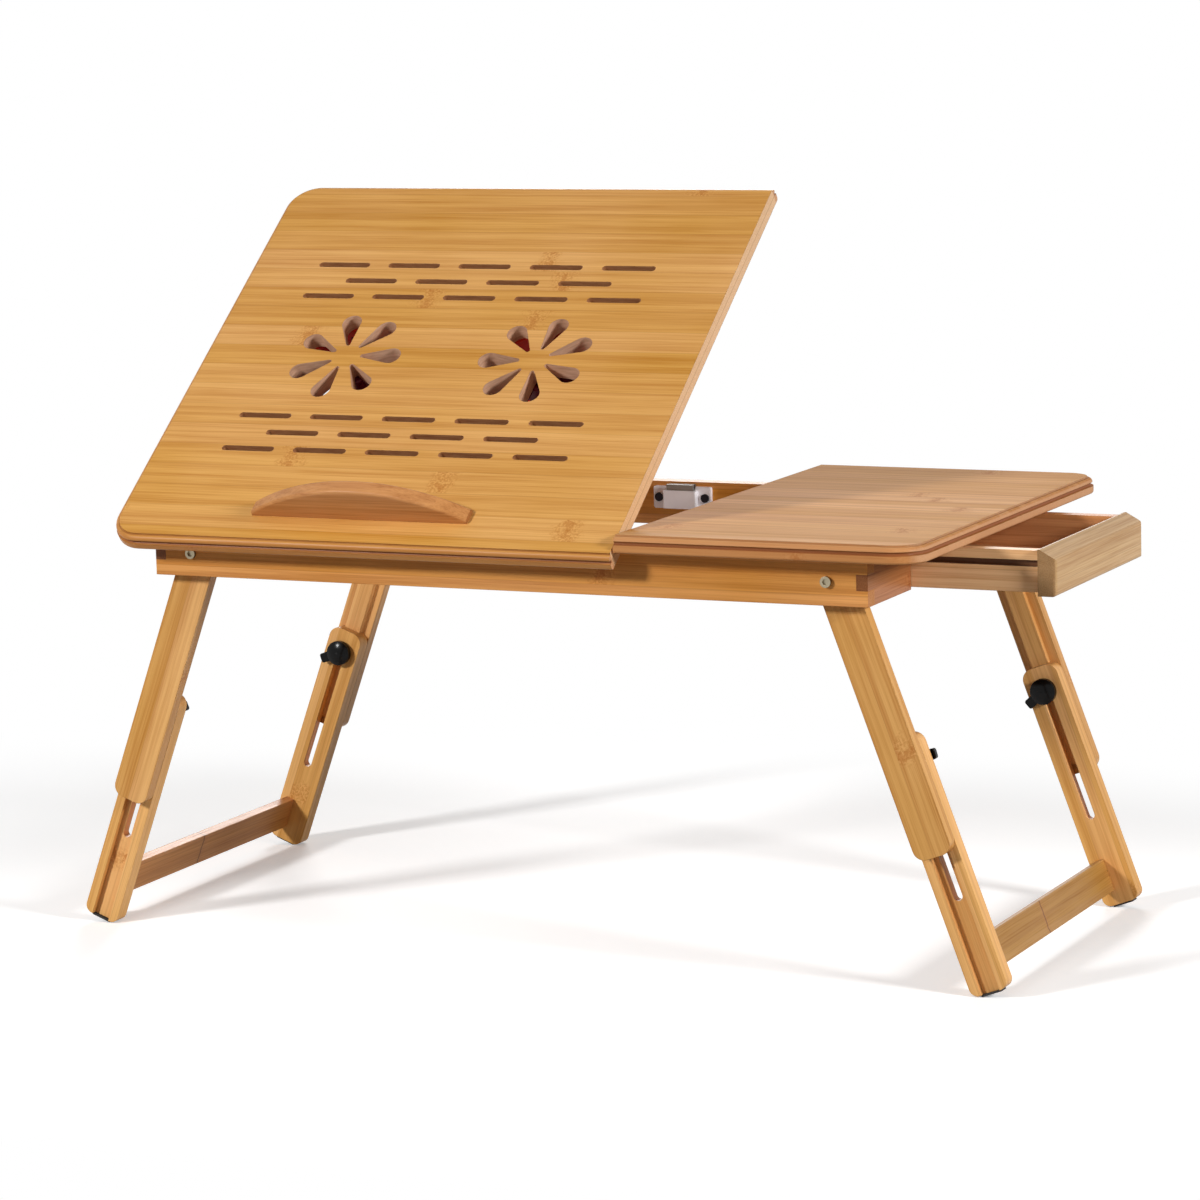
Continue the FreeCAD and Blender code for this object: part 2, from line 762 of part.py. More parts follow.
def moulded_board(label, left, right, bottom, seam):
    """A board with rounded corners and a moulded edge all round, apart from its seam."""
    body = doc.addObject("PartDesign::Body", label)
    sketch = sketch_on(body, "XY_Plane", bottom)
    rectangle(sketch, left, "-front_overhang", right, "frame_deep + back_overhang")
    pad(body, sketch, "top_thick")
    fillet(body, upright_corner(seam), "corner_round")
    blank = body.Tip
    path = edges_of(body, outer_edge(bottom, seam))
    fillet(body, outer_edge(bottom, seam), "under_round")
    profile = sketch_on(body, "YZ_Plane", seam)
    cutter_outline(profile, "(" + bottom + " + top_thick)")
    edge = body.newObject("PartDesign::SubtractivePipe", label + "_edge")
    edge.Profile = profile
    edge.Spine = (blank, path)
    body.Tip = edge
    return body


def fixed_top():
    """The side top, square at the seam."""
    seam = "(seam_at + seam_gap)"
    body = moulded_board("fixed_top", seam, "frame_long + right_overhang", "0", seam)
    return node(body, "fixed_top")


def tilt_panel():
    """The laptop panel, laid flat: rows of slots, two flowers of petals, hinge mortises."""
    body = moulded_board("tilt_panel", "-left_overhang", "seam_at", "lift", "seam_at")
    half_slot = "(slot_length - slot_width) / 2"
    for rows in ("upper_rows_at", "lower_rows_at"):
        for count, heights in ((5, (rows, rows + " + 2 * row_pitch")), (4, (rows + " + row_pitch",))):
            slots = sketch_on(body, "XY_Plane", PANEL_TOP)
            first = "vents_middle - %d * slot_pitch / 2" % (count - 1)
            for height in heights:
                capsule(slots, (first + " - " + half_slot, height),
                        (first + " + " + half_slot, height), "slot_width / 2", "slot_width / 2")
            opening = pocket(body, slots, "top_thick")
            row_pattern(body, opening, slots, count, "%d * slot_pitch" % (count - 1))
    for flower, turn in ((LEFT_FLOWER, "left_petal_turn"), (RIGHT_FLOWER, "right_petal_turn")):
        petal = sketch_on(body, "XY_Plane", PANEL_TOP, (flower, "flower_at"), turn)
        capsule(petal, ("petal_root + petal_point", "0"), ("petal_tip - petal_round", "0"),
                "petal_point", "petal_round")
        opening = pocket(body, petal, "top_thick")
        ring_pattern(body, opening, petal, 7)
    mortises = sketch_on(body, "XY_Plane", "lift")
    for hinge in HINGES:
        rectangle(mortises, hinge + " - leaf_wide / 2", "-hinge_out - leaf_thick / 2",
                  hinge + " + leaf_wide / 2", "leaf_reach")
    pocket(body, mortises, "leaf_thick", reverse=True)
    pilots = sketch_on(body, "XY_Plane", "lift")
    for hinge in HINGES:
        for spread in SPREADS:
            circle(pilots, (hinge + spread, "leaf_reach - leaf_screw_inset"), "screw_round")
    for flower in (LEFT_FLOWER, RIGHT_FLOWER):
        for side in ("-", "+"):
            for end in ("-", "+"):
                place = (flower + side + " fan_screw_pitch / 2",
                         "flower_at " + end + " fan_screw_pitch / 2")
                circle(pilots, place, "screw_round")
    pocket(body, pilots, "screw_long", reverse=True)
    return node(body, "tilt_panel")


def laptop_stop():
    """The arched lip that stands on the panel and keeps the laptop from sliding off."""
    body = doc.addObject("PartDesign::Body", "laptop_stop")
    sketch = sketch_on(body, "XZ_Plane", "-stop_at", ("vents_middle", PANEL_TOP))
    half = value_of("stop_long / 2")
    low = value_of("stop_end_tall")
    high = value_of("stop_tall")
    crown = Part.Arc(V(half, low, 0), V(0, high, 0), V(-half, low, 0))
    sketch.addGeometry(crown, False)
    sketch.addGeometry(Part.LineSegment(V(-half, low, 0), V(-half, 0, 0)), False)
    sketch.addGeometry(Part.LineSegment(V(-half, 0, 0), V(half, 0, 0)), False)
    sketch.addGeometry(Part.LineSegment(V(half, 0, 0), V(half, low, 0)), False)
    for i in range(4):
        sketch.addConstraint(Sketcher.Constraint("Coincident", i, 2, (i + 1) % 4, 1))
    pin_point(sketch, 1, 1, ("-stop_long / 2", "stop_end_tall"))
    pin_point(sketch, 1, 2, ("-stop_long / 2", "0"))
    pin_point(sketch, 2, 2, ("stop_long / 2", "0"))
    tie(sketch, "DistanceX", -1, 1, 3, 2, "stop_long / 2")
    tie(sketch, "DistanceY", -1, 1, 3, 2, "stop_end_tall")
    rise = "(stop_tall - stop_end_tall)"
    tie(sketch, "Radius", 0, "(stop_long * stop_long / 4 + " + rise + " * " + rise + ") / 2 / " + rise)
    pad(body, sketch, "stop_thick", reverse=True)
    level = value_of(PANEL_TOP + " + stop_end_tall")
    fillet(body, lambda p, d: p.z > level + 1 and abs(d.x) > 0.9, "stop_round")
    return node(body, "laptop_stop")


# ---------------------------------------------------------------- hinges, prop and fans

def knuckle(name, hinge, start, length, bore):
    """A stretch of hinge barrel with its bore, as the pair of solids to fuse and to cut."""
    place = (hinge + start, "-hinge_out", "-hinge_down")
    barrel = rod(name + "_barrel", "knuckle_round", length, place, X_AXIS)
    hole = rod(name + "_bore", bore, length, place, X_AXIS)
    return barrel, hole


def tilt_hinges():
    """Two butt hinges: a leaf on the front rail, a leaf let into the panel, and a pin."""
    third = "leaf_wide / 3"
    frame_leaves = []
    panel_leaves = []
    pins = []
    frame_screws = []
    panel_screws = []
    for index, hinge in enumerate(HINGES):
        tag = "hinge_%d" % index
        plate = box(tag + "_plate", ("leaf_wide", "leaf_thick", "leaf_drop - hinge_down"),
                    (hinge + " - leaf_wide / 2", "-leaf_thick", "-leaf_drop"))
        barrels = []
        holes = []
        for end, start in enumerate((" - leaf_wide / 2", " + leaf_wide / 6")):
            barrel, hole = knuckle("%s_frame_%d" % (tag, end), hinge, start, third,
                                   "hinge_pin_round")
            barrels.append(barrel)
            holes.append(hole)
        for end, spread in enumerate(SPREADS):
            head = (hinge + spread, "-leaf_thick", "-leaf_drop + leaf_screw_inset")
            frame_screws.append(flat_screw("%s_rail_screw_%d" % (tag, end), head, Y_AXIS))
        middle_room = box(tag + "_room", (third + " + 2 * knuckle_gap", "2 * knuckle_round + 2",
                                          "2 * knuckle_round + 2"),
                          (hinge + " - leaf_wide / 6 - knuckle_gap",
                           "-hinge_out - knuckle_round - 1", "-hinge_down - knuckle_round - 1"))
        leaf = fuse(tag + "_leaf", [plate] + barrels)
        tools = fuse(tag + "_tools", holes + [middle_room] + frame_screws[-2:])
        frame_leaves.append(cut(tag + "_frame_leaf", leaf, tools))

        flat = box(tag + "_flat", ("leaf_wide", "leaf_reach + hinge_out + leaf_thick / 2",
                                   "leaf_thick"),
                   (hinge + " - leaf_wide / 2", "-hinge_out - leaf_thick / 2", "lift"))
        web = box(tag + "_web", (third + " - 2 * knuckle_gap", "leaf_thick",
                                 "lift + hinge_down"),
                  (hinge + " - leaf_wide / 6 + knuckle_gap", "-hinge_out - leaf_thick / 2",
                   "-hinge_down"))
        barrel, hole = knuckle(tag + "_panel", hinge, " - leaf_wide / 6 + knuckle_gap",
                               third + " - 2 * knuckle_gap", "hinge_pin_round + pin_play")
        for end, spread in enumerate(SPREADS):
            head = (hinge + spread, "leaf_reach - leaf_screw_inset", "lift")
            panel_screws.append(flat_screw("%s_panel_screw_%d" % (tag, end), head, Z_AXIS))
        leaf = fuse(tag + "_panel_blank", [flat, web, barrel])
        tools = fuse(tag + "_panel_tools", [hole] + panel_screws[-2:])
        panel_leaves.append(cut(tag + "_panel_leaf", leaf, tools))
        pins.append(rod(tag + "_pin", "hinge_pin_round", "leaf_wide",
                        (hinge + " - leaf_wide / 2", "-hinge_out", "-hinge_down"), X_AXIS))
    together("hinge_frame_leaves", frame_leaves)
    together("hinge_frame_screws", frame_screws)
    together("hinge_pins", pins)
    return [together("hinge_panel_leaves", panel_leaves),
            together("hinge_panel_screws", panel_screws)]


def prop_bearings():
    """Two blocks under the panel that carry the prop's rod, each just outside an arm."""
    tall = "lift - (" + ROD_HIGH + ") + rod_round + bearing_lip"
    blocks = []
    for index, left in enumerate((
            LEFT_ARM + " - prop_wide / 2 - bearing_gap - bearing_wide",
            RIGHT_ARM + " + prop_wide / 2 + bearing_gap")):
        block = box("bearing_%d" % index, ("bearing_wide", "bearing_deep", tall),
                    (left, ROD_AT + " - bearing_deep / 2", "lift - (" + tall + ")"))
        bore = rod("bearing_bore_%d" % index, "rod_round + rod_play", "bearing_wide",
                   (left, ROD_AT, ROD_HIGH), X_AXIS)
        blocks.append(cut("bearing_block_%d" % index, block, bore))
    return together("prop_bearings", blocks)


def prop_arm(label, middle):
    """A wooden arm with round ends, lying back from the rod as it does when folded flat."""
    body = doc.addObject("PartDesign::Body", label)
    sketch = sketch_on(body, "YZ_Plane", middle + " - prop_wide / 2", (ROD_AT, ROD_HIGH))
    capsule(sketch, ("0", "0"), ("prop_long", "0"), "prop_deep / 2", "prop_deep / 2")
    circle(sketch, ("0", "0"), "rod_round")
    pad(body, sketch, "prop_wide")
    return node(body, label)


def prop():
    reach = "(prop_wide / 2 + bearing_gap + bearing_wide)"
    bar = rod("prop_rod", "rod_round", "prop_apart + 2 * " + reach,
              (LEFT_ARM + " - " + reach, ROD_AT, ROD_HIGH), X_AXIS)
    return [prop_arm("prop_arm_left", LEFT_ARM), prop_arm("prop_arm_right", RIGHT_ARM),
            node(bar, "prop_rod")]


def fan_frame(label, flower):
    """A square fan housing: flanges, round waist, bore, motor plate and four struts."""
    body = doc.addObject("PartDesign::Body", label)
    half = "fan_wide / 2"
    pitch = "fan_screw_pitch / 2"
    for start, length in (("lift - fan_tall", "fan_flange"), ("lift - fan_flange", "fan_flange")):
        flange = sketch_on(body, "XY_Plane", start, (flower, "flower_at"))
        rectangle(flange, "-" + half, "-" + half, half, half)
        if body.Tip is None:
            pad(body, flange, length)
            waist = sketch_on(body, "XY_Plane", start, (flower, "flower_at"))
            circle(waist, ("0", "0"), "fan_waist_round")
            pad(body, waist, "fan_tall")
        else:
            pad(body, flange, length)
    fillet(body, lambda p, d: abs(d.z) > 0.9 and at_corner(p, flower), "fan_corner")
    bore = sketch_on(body, "XY_Plane", "lift", (flower, "flower_at"))
    circle(bore, ("0", "0"), "fan_bore")
    pocket(body, bore, "fan_tall")
    plate = sketch_on(body, "XY_Plane", "lift - fan_tall", (flower, "flower_at"))
    circle(plate, ("0", "0"), "hub_round")
    pad(body, plate, "motor_plate")
    strut = sketch_on(body, "XY_Plane", "lift - fan_tall", (flower, "flower_at"))
    reach = "(fan_bore + fan_waist_round) / 2"
    rectangle(strut, "hub_round / 2", "-strut_wide / 2", reach, "strut_wide / 2")
    arm = pad(body, strut, "motor_plate")
    doc.recompute()
    ring_pattern(body, arm, strut, 4)
    holes = sketch_on(body, "XY_Plane", "lift", (flower, "flower_at"))
    for x in ("-" + pitch, pitch):
        for y in ("-" + pitch, pitch):
            circle(holes, (x, y), "screw_round")
    circle(holes, ("0", "0"), "shaft_round + shaft_play")
    pocket(body, holes, "fan_tall")
    return node(body, label)


def at_corner(p, flower):
    """Whether a point lies over a corner of a fan's square flanges."""
    half = value_of("fan_wide / 2")
    return (near(abs(p.x - value_of(flower)), half)
            and near(abs(p.y - value_of("flower_at")), half))


def impeller(label, flower):
    """Hub, shaft and seven twisted blades."""
    body = doc.addObject("PartDesign::Body", label)
    low = "lift - fan_tall + motor_plate + hub_gap"
    high = "lift - hub_gap"
    hub = sketch_on(body, "XY_Plane", low, (flower, "flower_at"))
    circle(hub, ("0", "0"), "hub_round")
    pad(body, hub, high + " - (" + low + ")")
    top = value_of(high)
    fillet(body, lambda p, d: near(p.z, top), "hub_edge_round")
    shaft = sketch_on(body, "XY_Plane", low, (flower, "flower_at"))
    circle(shaft, ("0", "0"), "shaft_round")
    pad(body, shaft, "hub_gap + motor_plate", reverse=True)
    sections = []
    middle = "((" + low + ") + (" + high + ")) / 2"
    for out, wide, lean in (("hub_round - 3", "blade_root_wide", "blade_root_lean"),
                            ("blade_tip_at", "blade_tip_wide", "blade_tip_lean")):
        section = sketch_on(body, "YZ_Plane", flower + " + " + out, ("flower_at", middle), lean)
        rectangle(section, "-" + wide + " / 2", "-blade_thick / 2", wide + " / 2", "blade_thick / 2")
        sections.append(section)
    blade = body.newObject("PartDesign::AdditiveLoft", label + "_blade")
    blade.Profile = sections[0]
    blade.Sections = [sections[1]]
    body.Tip = blade
    doc.recompute()
    axle = sketch_on(body, "XY_Plane", high, (flower, "flower_at"))
    ring_pattern(body, blade, axle, 7)
    return node(body, label)


def fan_screws():
    screws = []
    for flower in (LEFT_FLOWER, RIGHT_FLOWER):
        for side in ("-", "+"):
            for end in ("-", "+"):
                seat = (flower + side + " fan_screw_pitch / 2",
                        "flower_at " + end + " fan_screw_pitch / 2", "lift - fan_tall")
                screws.append(round_screw("fan_screw_%d" % len(screws), seat, Z_AXIS,
                                          "fan_tall + screw_long"))
    return together("fan_screws", screws)


# ---------------------------------------------------------------- drawer

def drawer_side(label, back):
    body = doc.addObject("PartDesign::Body", label)
    sketch = sketch_on(body, "YZ_Plane", DRAWER_BACK_AT)
    outer = across(back, DRAWER_FACE)
    outer_floor = across(back, "(" + DRAWER_FACE + " + groove_deep)")
    inner = across(back, "(" + DRAWER_FACE + " + drawer_wall)")
    inner_floor = across(back, "(" + DRAWER_FACE + " + drawer_wall - bottom_groove)")
    high = "-drawer_top_gap"
    groove_high = "-drawer_top_gap - groove_down"
    groove_low = "-drawer_top_gap - groove_down - groove_tall"
    bottom_low = DRAWER_LOW + " + bottom_lift"
    bottom_high = DRAWER_LOW + " + bottom_lift + bottom_thick"
    polygon(sketch, [
        (outer, high), (outer, groove_high), (outer_floor, groove_high),
        (outer_floor, groove_low), (outer, groove_low), (outer, DRAWER_LOW),
        (inner, DRAWER_LOW), (inner, bottom_low), (inner_floor, bottom_low),
        (inner_floor, bottom_high), (inner, bottom_high), (inner, high),
    ])
    pad(body, sketch, FRONT_BOARD_AT + " - " + DRAWER_BACK_AT)
    return node(body, label)


def drawer_front():
    """The front board, with a wide bevel along its top and its outer edges eased."""
    body = doc.addObject("PartDesign::Body", "drawer_front")
    edge = "(" + DRAWER_FACE + " - front_lap)"
    sketch = sketch_on(body, "XZ_Plane", "-" + edge)
    face = FRONT_BOARD_AT
    outside = FRONT_BOARD_AT + " + front_thick"
    polygon(sketch, [
        (face, "-front_top_gap - front_tall"), (outside, "-front_top_gap - front_tall"),
        (outside, "-front_top_gap - front_bevel_down"),
        (outside + " - front_bevel_in", "-front_top_gap"), (face, "-front_top_gap"),
    ])
    pad(body, sketch, "frame_deep - 2 * " + edge, reverse=True)
    out = value_of(outside)
    fillet(body, lambda p, d: near(p.x, out), "front_round")
    return node(body, "drawer_front")


def drawer():
    drawer_front()
    drawer_side("drawer_side_front", False)
    drawer_side("drawer_side_back", True)
    inside = "(" + DRAWER_FACE + " + drawer_wall)"
    floor = "(" + DRAWER_LOW + " + bottom_lift + bottom_thick)"
    rear = box("drawer_back", ("drawer_wall", "frame_deep - 2 * " + inside,
                               "-drawer_top_gap - " + floor),
               (DRAWER_BACK_AT, inside, floor))
    node(rear, "drawer_back")
    panel = box("drawer_bottom", (FRONT_BOARD_AT + " - " + DRAWER_BACK_AT,
                                  "frame_deep - 2 * (" + inside + " - bottom_groove)",
                                  "bottom_thick"),
                (DRAWER_BACK_AT, inside + " - bottom_groove", DRAWER_LOW + " + bottom_lift"))
    node(panel, "drawer_bottom")


# ---------------------------------------------------------------- legs
# A leg is laid out from its pivot, pointing straight down, and then turned to its splay.

def foot_corner(height):
    """Accepts the edges that run front to back at a height."""
    level = value_of(height)
    return lambda p, d: abs(d.y) > 0.9 and near(p.z, level)


def upper_leg(label, back):
    body = doc.addObject("PartDesign::Body", label)
    half = "leg_wide / 2"
    sketch = depth_sketch(body, back, UPPER_FACE)
    arch(sketch, half, "0", "-upper_long")
    pad(body, sketch, "upper_thick", reverse=not back)
    fillet(body, foot_corner("-upper_long"), "leg_corner")
    tongue = depth_sketch(body, back, "(" + UPPER_FACE + " + upper_thick)")
    narrow = "(channel_wide / 2 - slide_gap)"
    capsule(tongue, ("0", "-upper_long + leg_wide / 2"), ("0", "-tongue_start - " + narrow),
            narrow, narrow)
    pad(body, tongue, "channel_deep", reverse=not back)
    pivot = depth_sketch(body, back, UPPER_FACE)
    circle(pivot, ("0", "0"), "pivot_round + pivot_play")
    pocket(body, pivot, "upper_thick", reverse=back)
    socket = depth_sketch(body, back, TONGUE_FACE)
    circle(socket, ("0", "-knob_at"), "insert_round")
    pocket(body, socket, "insert_deep", reverse=not back)
    return node(body, label)


def lower_leg(label, back):
    body = doc.addObject("PartDesign::Body", label)
    sketch = depth_sketch(body, back, LOWER_FACE)
    rectangle(sketch, "-leg_wide / 2", "-lower_end", "leg_wide / 2", "-lower_start")
    pad(body, sketch, "lower_thick", reverse=not back)
    fillet(body, foot_corner("-lower_start"), "leg_corner")
    fillet(body, foot_corner("-lower_end"), "foot_round")
    channel = depth_sketch(body, back, LOWER_FACE)
    rectangle(channel, "-channel_wide / 2", "-lower_end - 1", "channel_wide / 2", "-lower_start + 1")
    pocket(body, channel, "channel_deep", reverse=back)
    slot = depth_sketch(body, back, LOWER_FACE)
    wide = "leg_slot_wide / 2"
    capsule(slot, ("0", "-knob_at - travel"), ("0", "-knob_at"), wide, wide)
    pocket(body, slot, "lower_thick", reverse=back)
    mortise = depth_sketch(body, back, LOWER_INNER)
    rectangle(mortise, "crossbar_offset - crossbar_thick / 2", "-crossbar_start - crossbar_wide",
              "crossbar_offset + crossbar_thick / 2", "-crossbar_start")
    pocket(body, mortise, "crossbar_tenon", reverse=not back)
    return node(body, label)


def crossbar(label):
    bar = box(label, ("crossbar_thick", "frame_deep - 2 * (" + LOWER_INNER + " - crossbar_tenon)",
                      "crossbar_wide"),
              ("crossbar_offset - crossbar_thick / 2", LOWER_INNER + " - crossbar_tenon",
               "-crossbar_start - crossbar_wide"))
    return node(bar, label)


def foot_pads(label):
    pads = []
    first = "(" + LOWER_FACE + " + (lower_thick - pad_deep) / 2)"
    for index, start in enumerate((first, "frame_deep - " + first + " - pad_deep")):
        pads.append(box("%s_%d" % (label, index), ("pad_wide", "pad_deep", "pad_thick"),
                        ("-pad_wide / 2", start, "-lower_end - pad_thick")))
    return together(label, pads)


def inserts(label):
    tubes = []
    for back in (False, True):
        tag = "%s_%d" % (label, len(tubes))
        mouth = ("0", across(back, TONGUE_FACE), "-knob_at")
        outward = -Y_AXIS if not back else Y_AXIS
        sleeve = rod(tag + "_sleeve", "insert_round", "insert_deep", mouth, outward)
        thread = rod(tag + "_thread", "stud_round + stud_play", "insert_deep", mouth, outward)
        tubes.append(cut(tag, sleeve, thread))
    return together(label, tubes)


def knob(label, back):
    """A clamp knob: a domed disc on a neck, with a thumb tab and a stud towards the leg."""
    body = doc.addObject("PartDesign::Body", label)
    tab = depth_sketch(body, back, "(" + KNOB_FACE + " + neck_tall)")
    rectangle(tab, "0", "-tab_wide / 2", "tab_tip", "tab_wide / 2")
    pad(body, tab, "tab_tall", reverse=not back)
    fillet(body, tip_corner, "tab_corner")
    face = across(back, KNOB_FACE)
    away = "-" if back else "+"
    low = face + away + "neck_tall"
    rim = low + away + "rim_tall"
    crown = rim + away + "dome_tall"
    start = face + ("+" if back else "-") + STUD_REACH
    profile = sketch_on(body, "XY_Plane", "0")
    corners = [("0", crown), ("0", start), ("stud_round", start), ("stud_round", face),
               ("neck_round", face), ("neck_round", low), ("knob_round", low),
               ("knob_round", rim)]
    spots = [point(a, b, "0") for a, b in corners]
    for index in range(7):
        profile.addGeometry(Part.LineSegment(spots[index], spots[index + 1]), False)
        pin_point(profile, index, 1, corners[index])
        pin_point(profile, index, 2, corners[index + 1])
    lean = "(dome_tall + knob_round * knob_round / dome_tall)"
    sag = "(" + lean + " / 2 * (1 - cos(asin(knob_round / " + lean + "))))"
    halfway = point("knob_round / 2", crown + (" + " if back else " - ") + sag, "0")
    profile.addGeometry(Part.Arc(spots[7], halfway, spots[0]), False)
    rim_end, crown_end = (2, 1) if back else (1, 2)
    profile.addConstraint(Sketcher.Constraint("Coincident", 6, 2, 7, rim_end))
    profile.addConstraint(Sketcher.Constraint("Coincident", 7, crown_end, 0, 1))
    tie(profile, "Radius", 7, lean + " / 2")
    turned = body.newObject("PartDesign::Revolution", label + "_turning")
    turned.Profile = profile
    turned.ReferenceAxis = (profile, ["V_Axis"])
    turned.Angle = 360
    body.Tip = turned
    return node(body, label)


def tip_corner(p, d):
    """Accepts the two edges at the end of a knob's tab."""
    return abs(d.y) > 0.9 and near(p.x, value_of("tab_tip"))


def leg_pair(side, at, lean, front_tab, back_tab):
    """One end's two telescoping legs with their crossbar, turned out by the splay."""
    stance = FreeCAD.Placement(point(at, "0", "-pivot_down"),
                               FreeCAD.Rotation(Y_AXIS, lean * value_of("splay")))
    pieces = [
        upper_leg(side + "_front_upper_leg", False), upper_leg(side + "_back_upper_leg", True),
        inserts(side + "_inserts"),
        lower_leg(side + "_front_lower_leg", False), lower_leg(side + "_back_lower_leg", True),
        crossbar(side + "_crossbar"), foot_pads(side + "_foot_pads"),
    ]
    for piece in pieces:
        piece.Placement = stance.multiply(piece.Placement)
    for label, back, tab in ((side + "_front_knob", False, front_tab),
                             (side + "_back_knob", True, back_tab)):
        seat = FreeCAD.Placement(point("0", "0", "-knob_at"),
                                 FreeCAD.Rotation(Y_AXIS, value_of(tab)))
        piece = knob(label, back)
        piece.Placement = stance.multiply(seat)


# ---------------------------------------------------------------- the whole table

frame_rail("front_rail", False)
frame_rail("back_rail", True)
end_board("left_end_rail", False, False, True)
end_board("end_stub_front", True, False, False)
end_board("end_stub_back", True, True, False)
divider = box("partition", ("board", "frame_deep - 2 * (stub_long - board)", "rail_tall"),
              (PARTITION_LEFT, "stub_long - board", "-rail_tall"))
node(divider, "partition")
drawer_guide("drawer_guide_front", False)
drawer_guide("drawer_guide_back", True)
rack_battens()
rack("rack_left", LEFT_ARM)
rack("rack_right", RIGHT_ARM)
fixed_top()
magnetic_catch()
pivot_hardware()
drawer()
leg_pair("left", PIVOT_IN, 1, "left_front_tab", "left_back_tab")
leg_pair("right", "frame_long - " + PIVOT_IN, -1, "right_front_tab", "right_back_tab")

strike = box("strike_plate", ("strike_wide", "strike_deep", "strike_thick"),
             ("catch_at - strike_wide / 2", CATCH_FACE + " - strike_gap - strike_deep",
              "lift - strike_thick"))
tilting = [tilt_panel(), laptop_stop(), node(strike, "strike_plate"), prop_bearings()]
tilting += tilt_hinges()
tilting += [fan_frame("fan_frame_left", LEFT_FLOWER), fan_frame("fan_frame_right", RIGHT_FLOWER)]
tilting += [impeller("impeller_left", LEFT_FLOWER), impeller("impeller_right", RIGHT_FLOWER)]
tilting += [fan_screws()]
swinging = prop()

opened = FreeCAD.Placement(V(0, 0, 0), FreeCAD.Rotation(X_AXIS, value_of("tilt")),
                           point("0", "-hinge_out", "-hinge_down"))
dropped = FreeCAD.Placement(V(0, 0, 0), FreeCAD.Rotation(X_AXIS, -2 * value_of("tilt")),
                            point("0", ROD_AT, ROD_HIGH))
for piece in swinging:
    piece.Placement = dropped.multiply(piece.Placement)
for piece in tilting + swinging:
    piece.Placement = opened.multiply(piece.Placement)

doc.recompute()

around = FreeCAD.BoundBox()
for item in NODES:
    around.add(item.Shape.optimalBoundingBox(False))
to_floor = FreeCAD.Placement(V(-around.Center.x, -around.Center.y, -around.ZMin),
                             FreeCAD.Rotation())
for item in NODES:
    item.Placement = to_floor.multiply(item.Placement)
doc.recompute()

for item in doc.Objects:
    if "Invalid" in item.State or "Error" in item.State:
        raise RuntimeError(item.Name + " is " + ", ".join(item.State))
for item in NODES:
    if item.Shape.isNull() or not item.Shape.isValid():
        raise RuntimeError(item.Label + " has no valid shape")

os.makedirs("parts", exist_ok=True)
for item in NODES:
    item.Shape.exportStep("parts/" + item.Label + ".step")
print("moved by", to_floor.Base, "box", around)
print(len(NODES), "nodes")
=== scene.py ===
import math

import bpy
from mathutils import Matrix, Vector


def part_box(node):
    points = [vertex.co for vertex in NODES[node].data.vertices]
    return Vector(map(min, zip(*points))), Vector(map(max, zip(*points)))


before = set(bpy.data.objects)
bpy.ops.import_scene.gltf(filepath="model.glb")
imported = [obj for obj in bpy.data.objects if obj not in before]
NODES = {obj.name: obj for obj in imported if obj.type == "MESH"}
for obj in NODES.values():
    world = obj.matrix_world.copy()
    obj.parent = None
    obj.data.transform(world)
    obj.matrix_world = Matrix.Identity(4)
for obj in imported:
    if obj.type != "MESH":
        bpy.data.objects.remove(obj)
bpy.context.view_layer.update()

# Lengths are in metres throughout.

# ---------------------------------------------------------------- directions

TILT = math.radians(37.24)      # the panel's, from level
SPLAY = math.radians(20.45)     # the legs', from upright

X, Y, Z = (1, 0, 0), (0, 1, 0), (0, 0, 1)
UP_PANEL = (0, math.cos(TILT), math.sin(TILT))
DOWN_PROP = (0, math.cos(TILT), -math.sin(TILT))

# for each pair of legs, the direction down a leg and the one across its width
LEGS = {
    "left": ((-math.sin(SPLAY), 0, -math.cos(SPLAY)), (math.cos(SPLAY), 0, -math.sin(SPLAY))),
    "right": ((math.sin(SPLAY), 0, -math.cos(SPLAY)), (math.cos(SPLAY), 0, math.sin(SPLAY))),
}


# ---------------------------------------------------------------- colours

def srgb(r, g, b):
    """A display colour, 0 to 255, as the linear colour that the sockets take."""
    def one(c):
        c /= 255.0
        return c / 12.92 if c <= 0.04045 else ((c + 0.055) / 1.055) ** 2.4
    return (one(r), one(g), one(b), 1.0)


def grey(level):
    """A linear grey."""
    return (level, level, level, 1.0)


def times(colour, factor):
    """A colour with its channels multiplied by one factor, or by three."""
    factors = factor if isinstance(factor, tuple) else (factor,) * 3
    return tuple(min(1.0, c * f) for c, f in zip(colour, factors)) + (1.0,)


# a pale and a deep colour for each bamboo, which its fibres run between
PANEL = srgb(224, 168, 92), srgb(190, 128, 56)
LAPTOP_STOP = srgb(208, 146, 88), srgb(170, 108, 58)
SIDE_TOP = srgb(224, 170, 108), srgb(186, 126, 72)
RAIL = srgb(228, 160, 85), srgb(186, 116, 50)
END = srgb(178, 116, 68), srgb(138, 82, 44)
# painted light: paler than the drawer's other sides, to make up for the top's shade on this face
DRAWER_SIDE = srgb(250, 204, 152), srgb(216, 158, 106)
DRAWER_INNER = srgb(214, 150, 98), srgb(172, 106, 60)
DRAWER_FRONT = srgb(200, 164, 118), srgb(164, 122, 78)
UPPER_LEG = srgb(230, 176, 108), srgb(192, 130, 68)
LOWER_LEG = srgb(240, 184, 112), srgb(204, 142, 76)
# the right crossbar's colours are darker: painted shade, to offset the side lamp that lights its
# face
CROSSBARS = {"left": (srgb(214, 150, 88), srgb(172, 108, 56)),
             "right": (srgb(184, 136, 70), srgb(156, 106, 48))}
CREAM_ENDS = srgb(206, 160, 118), srgb(238, 208, 172)
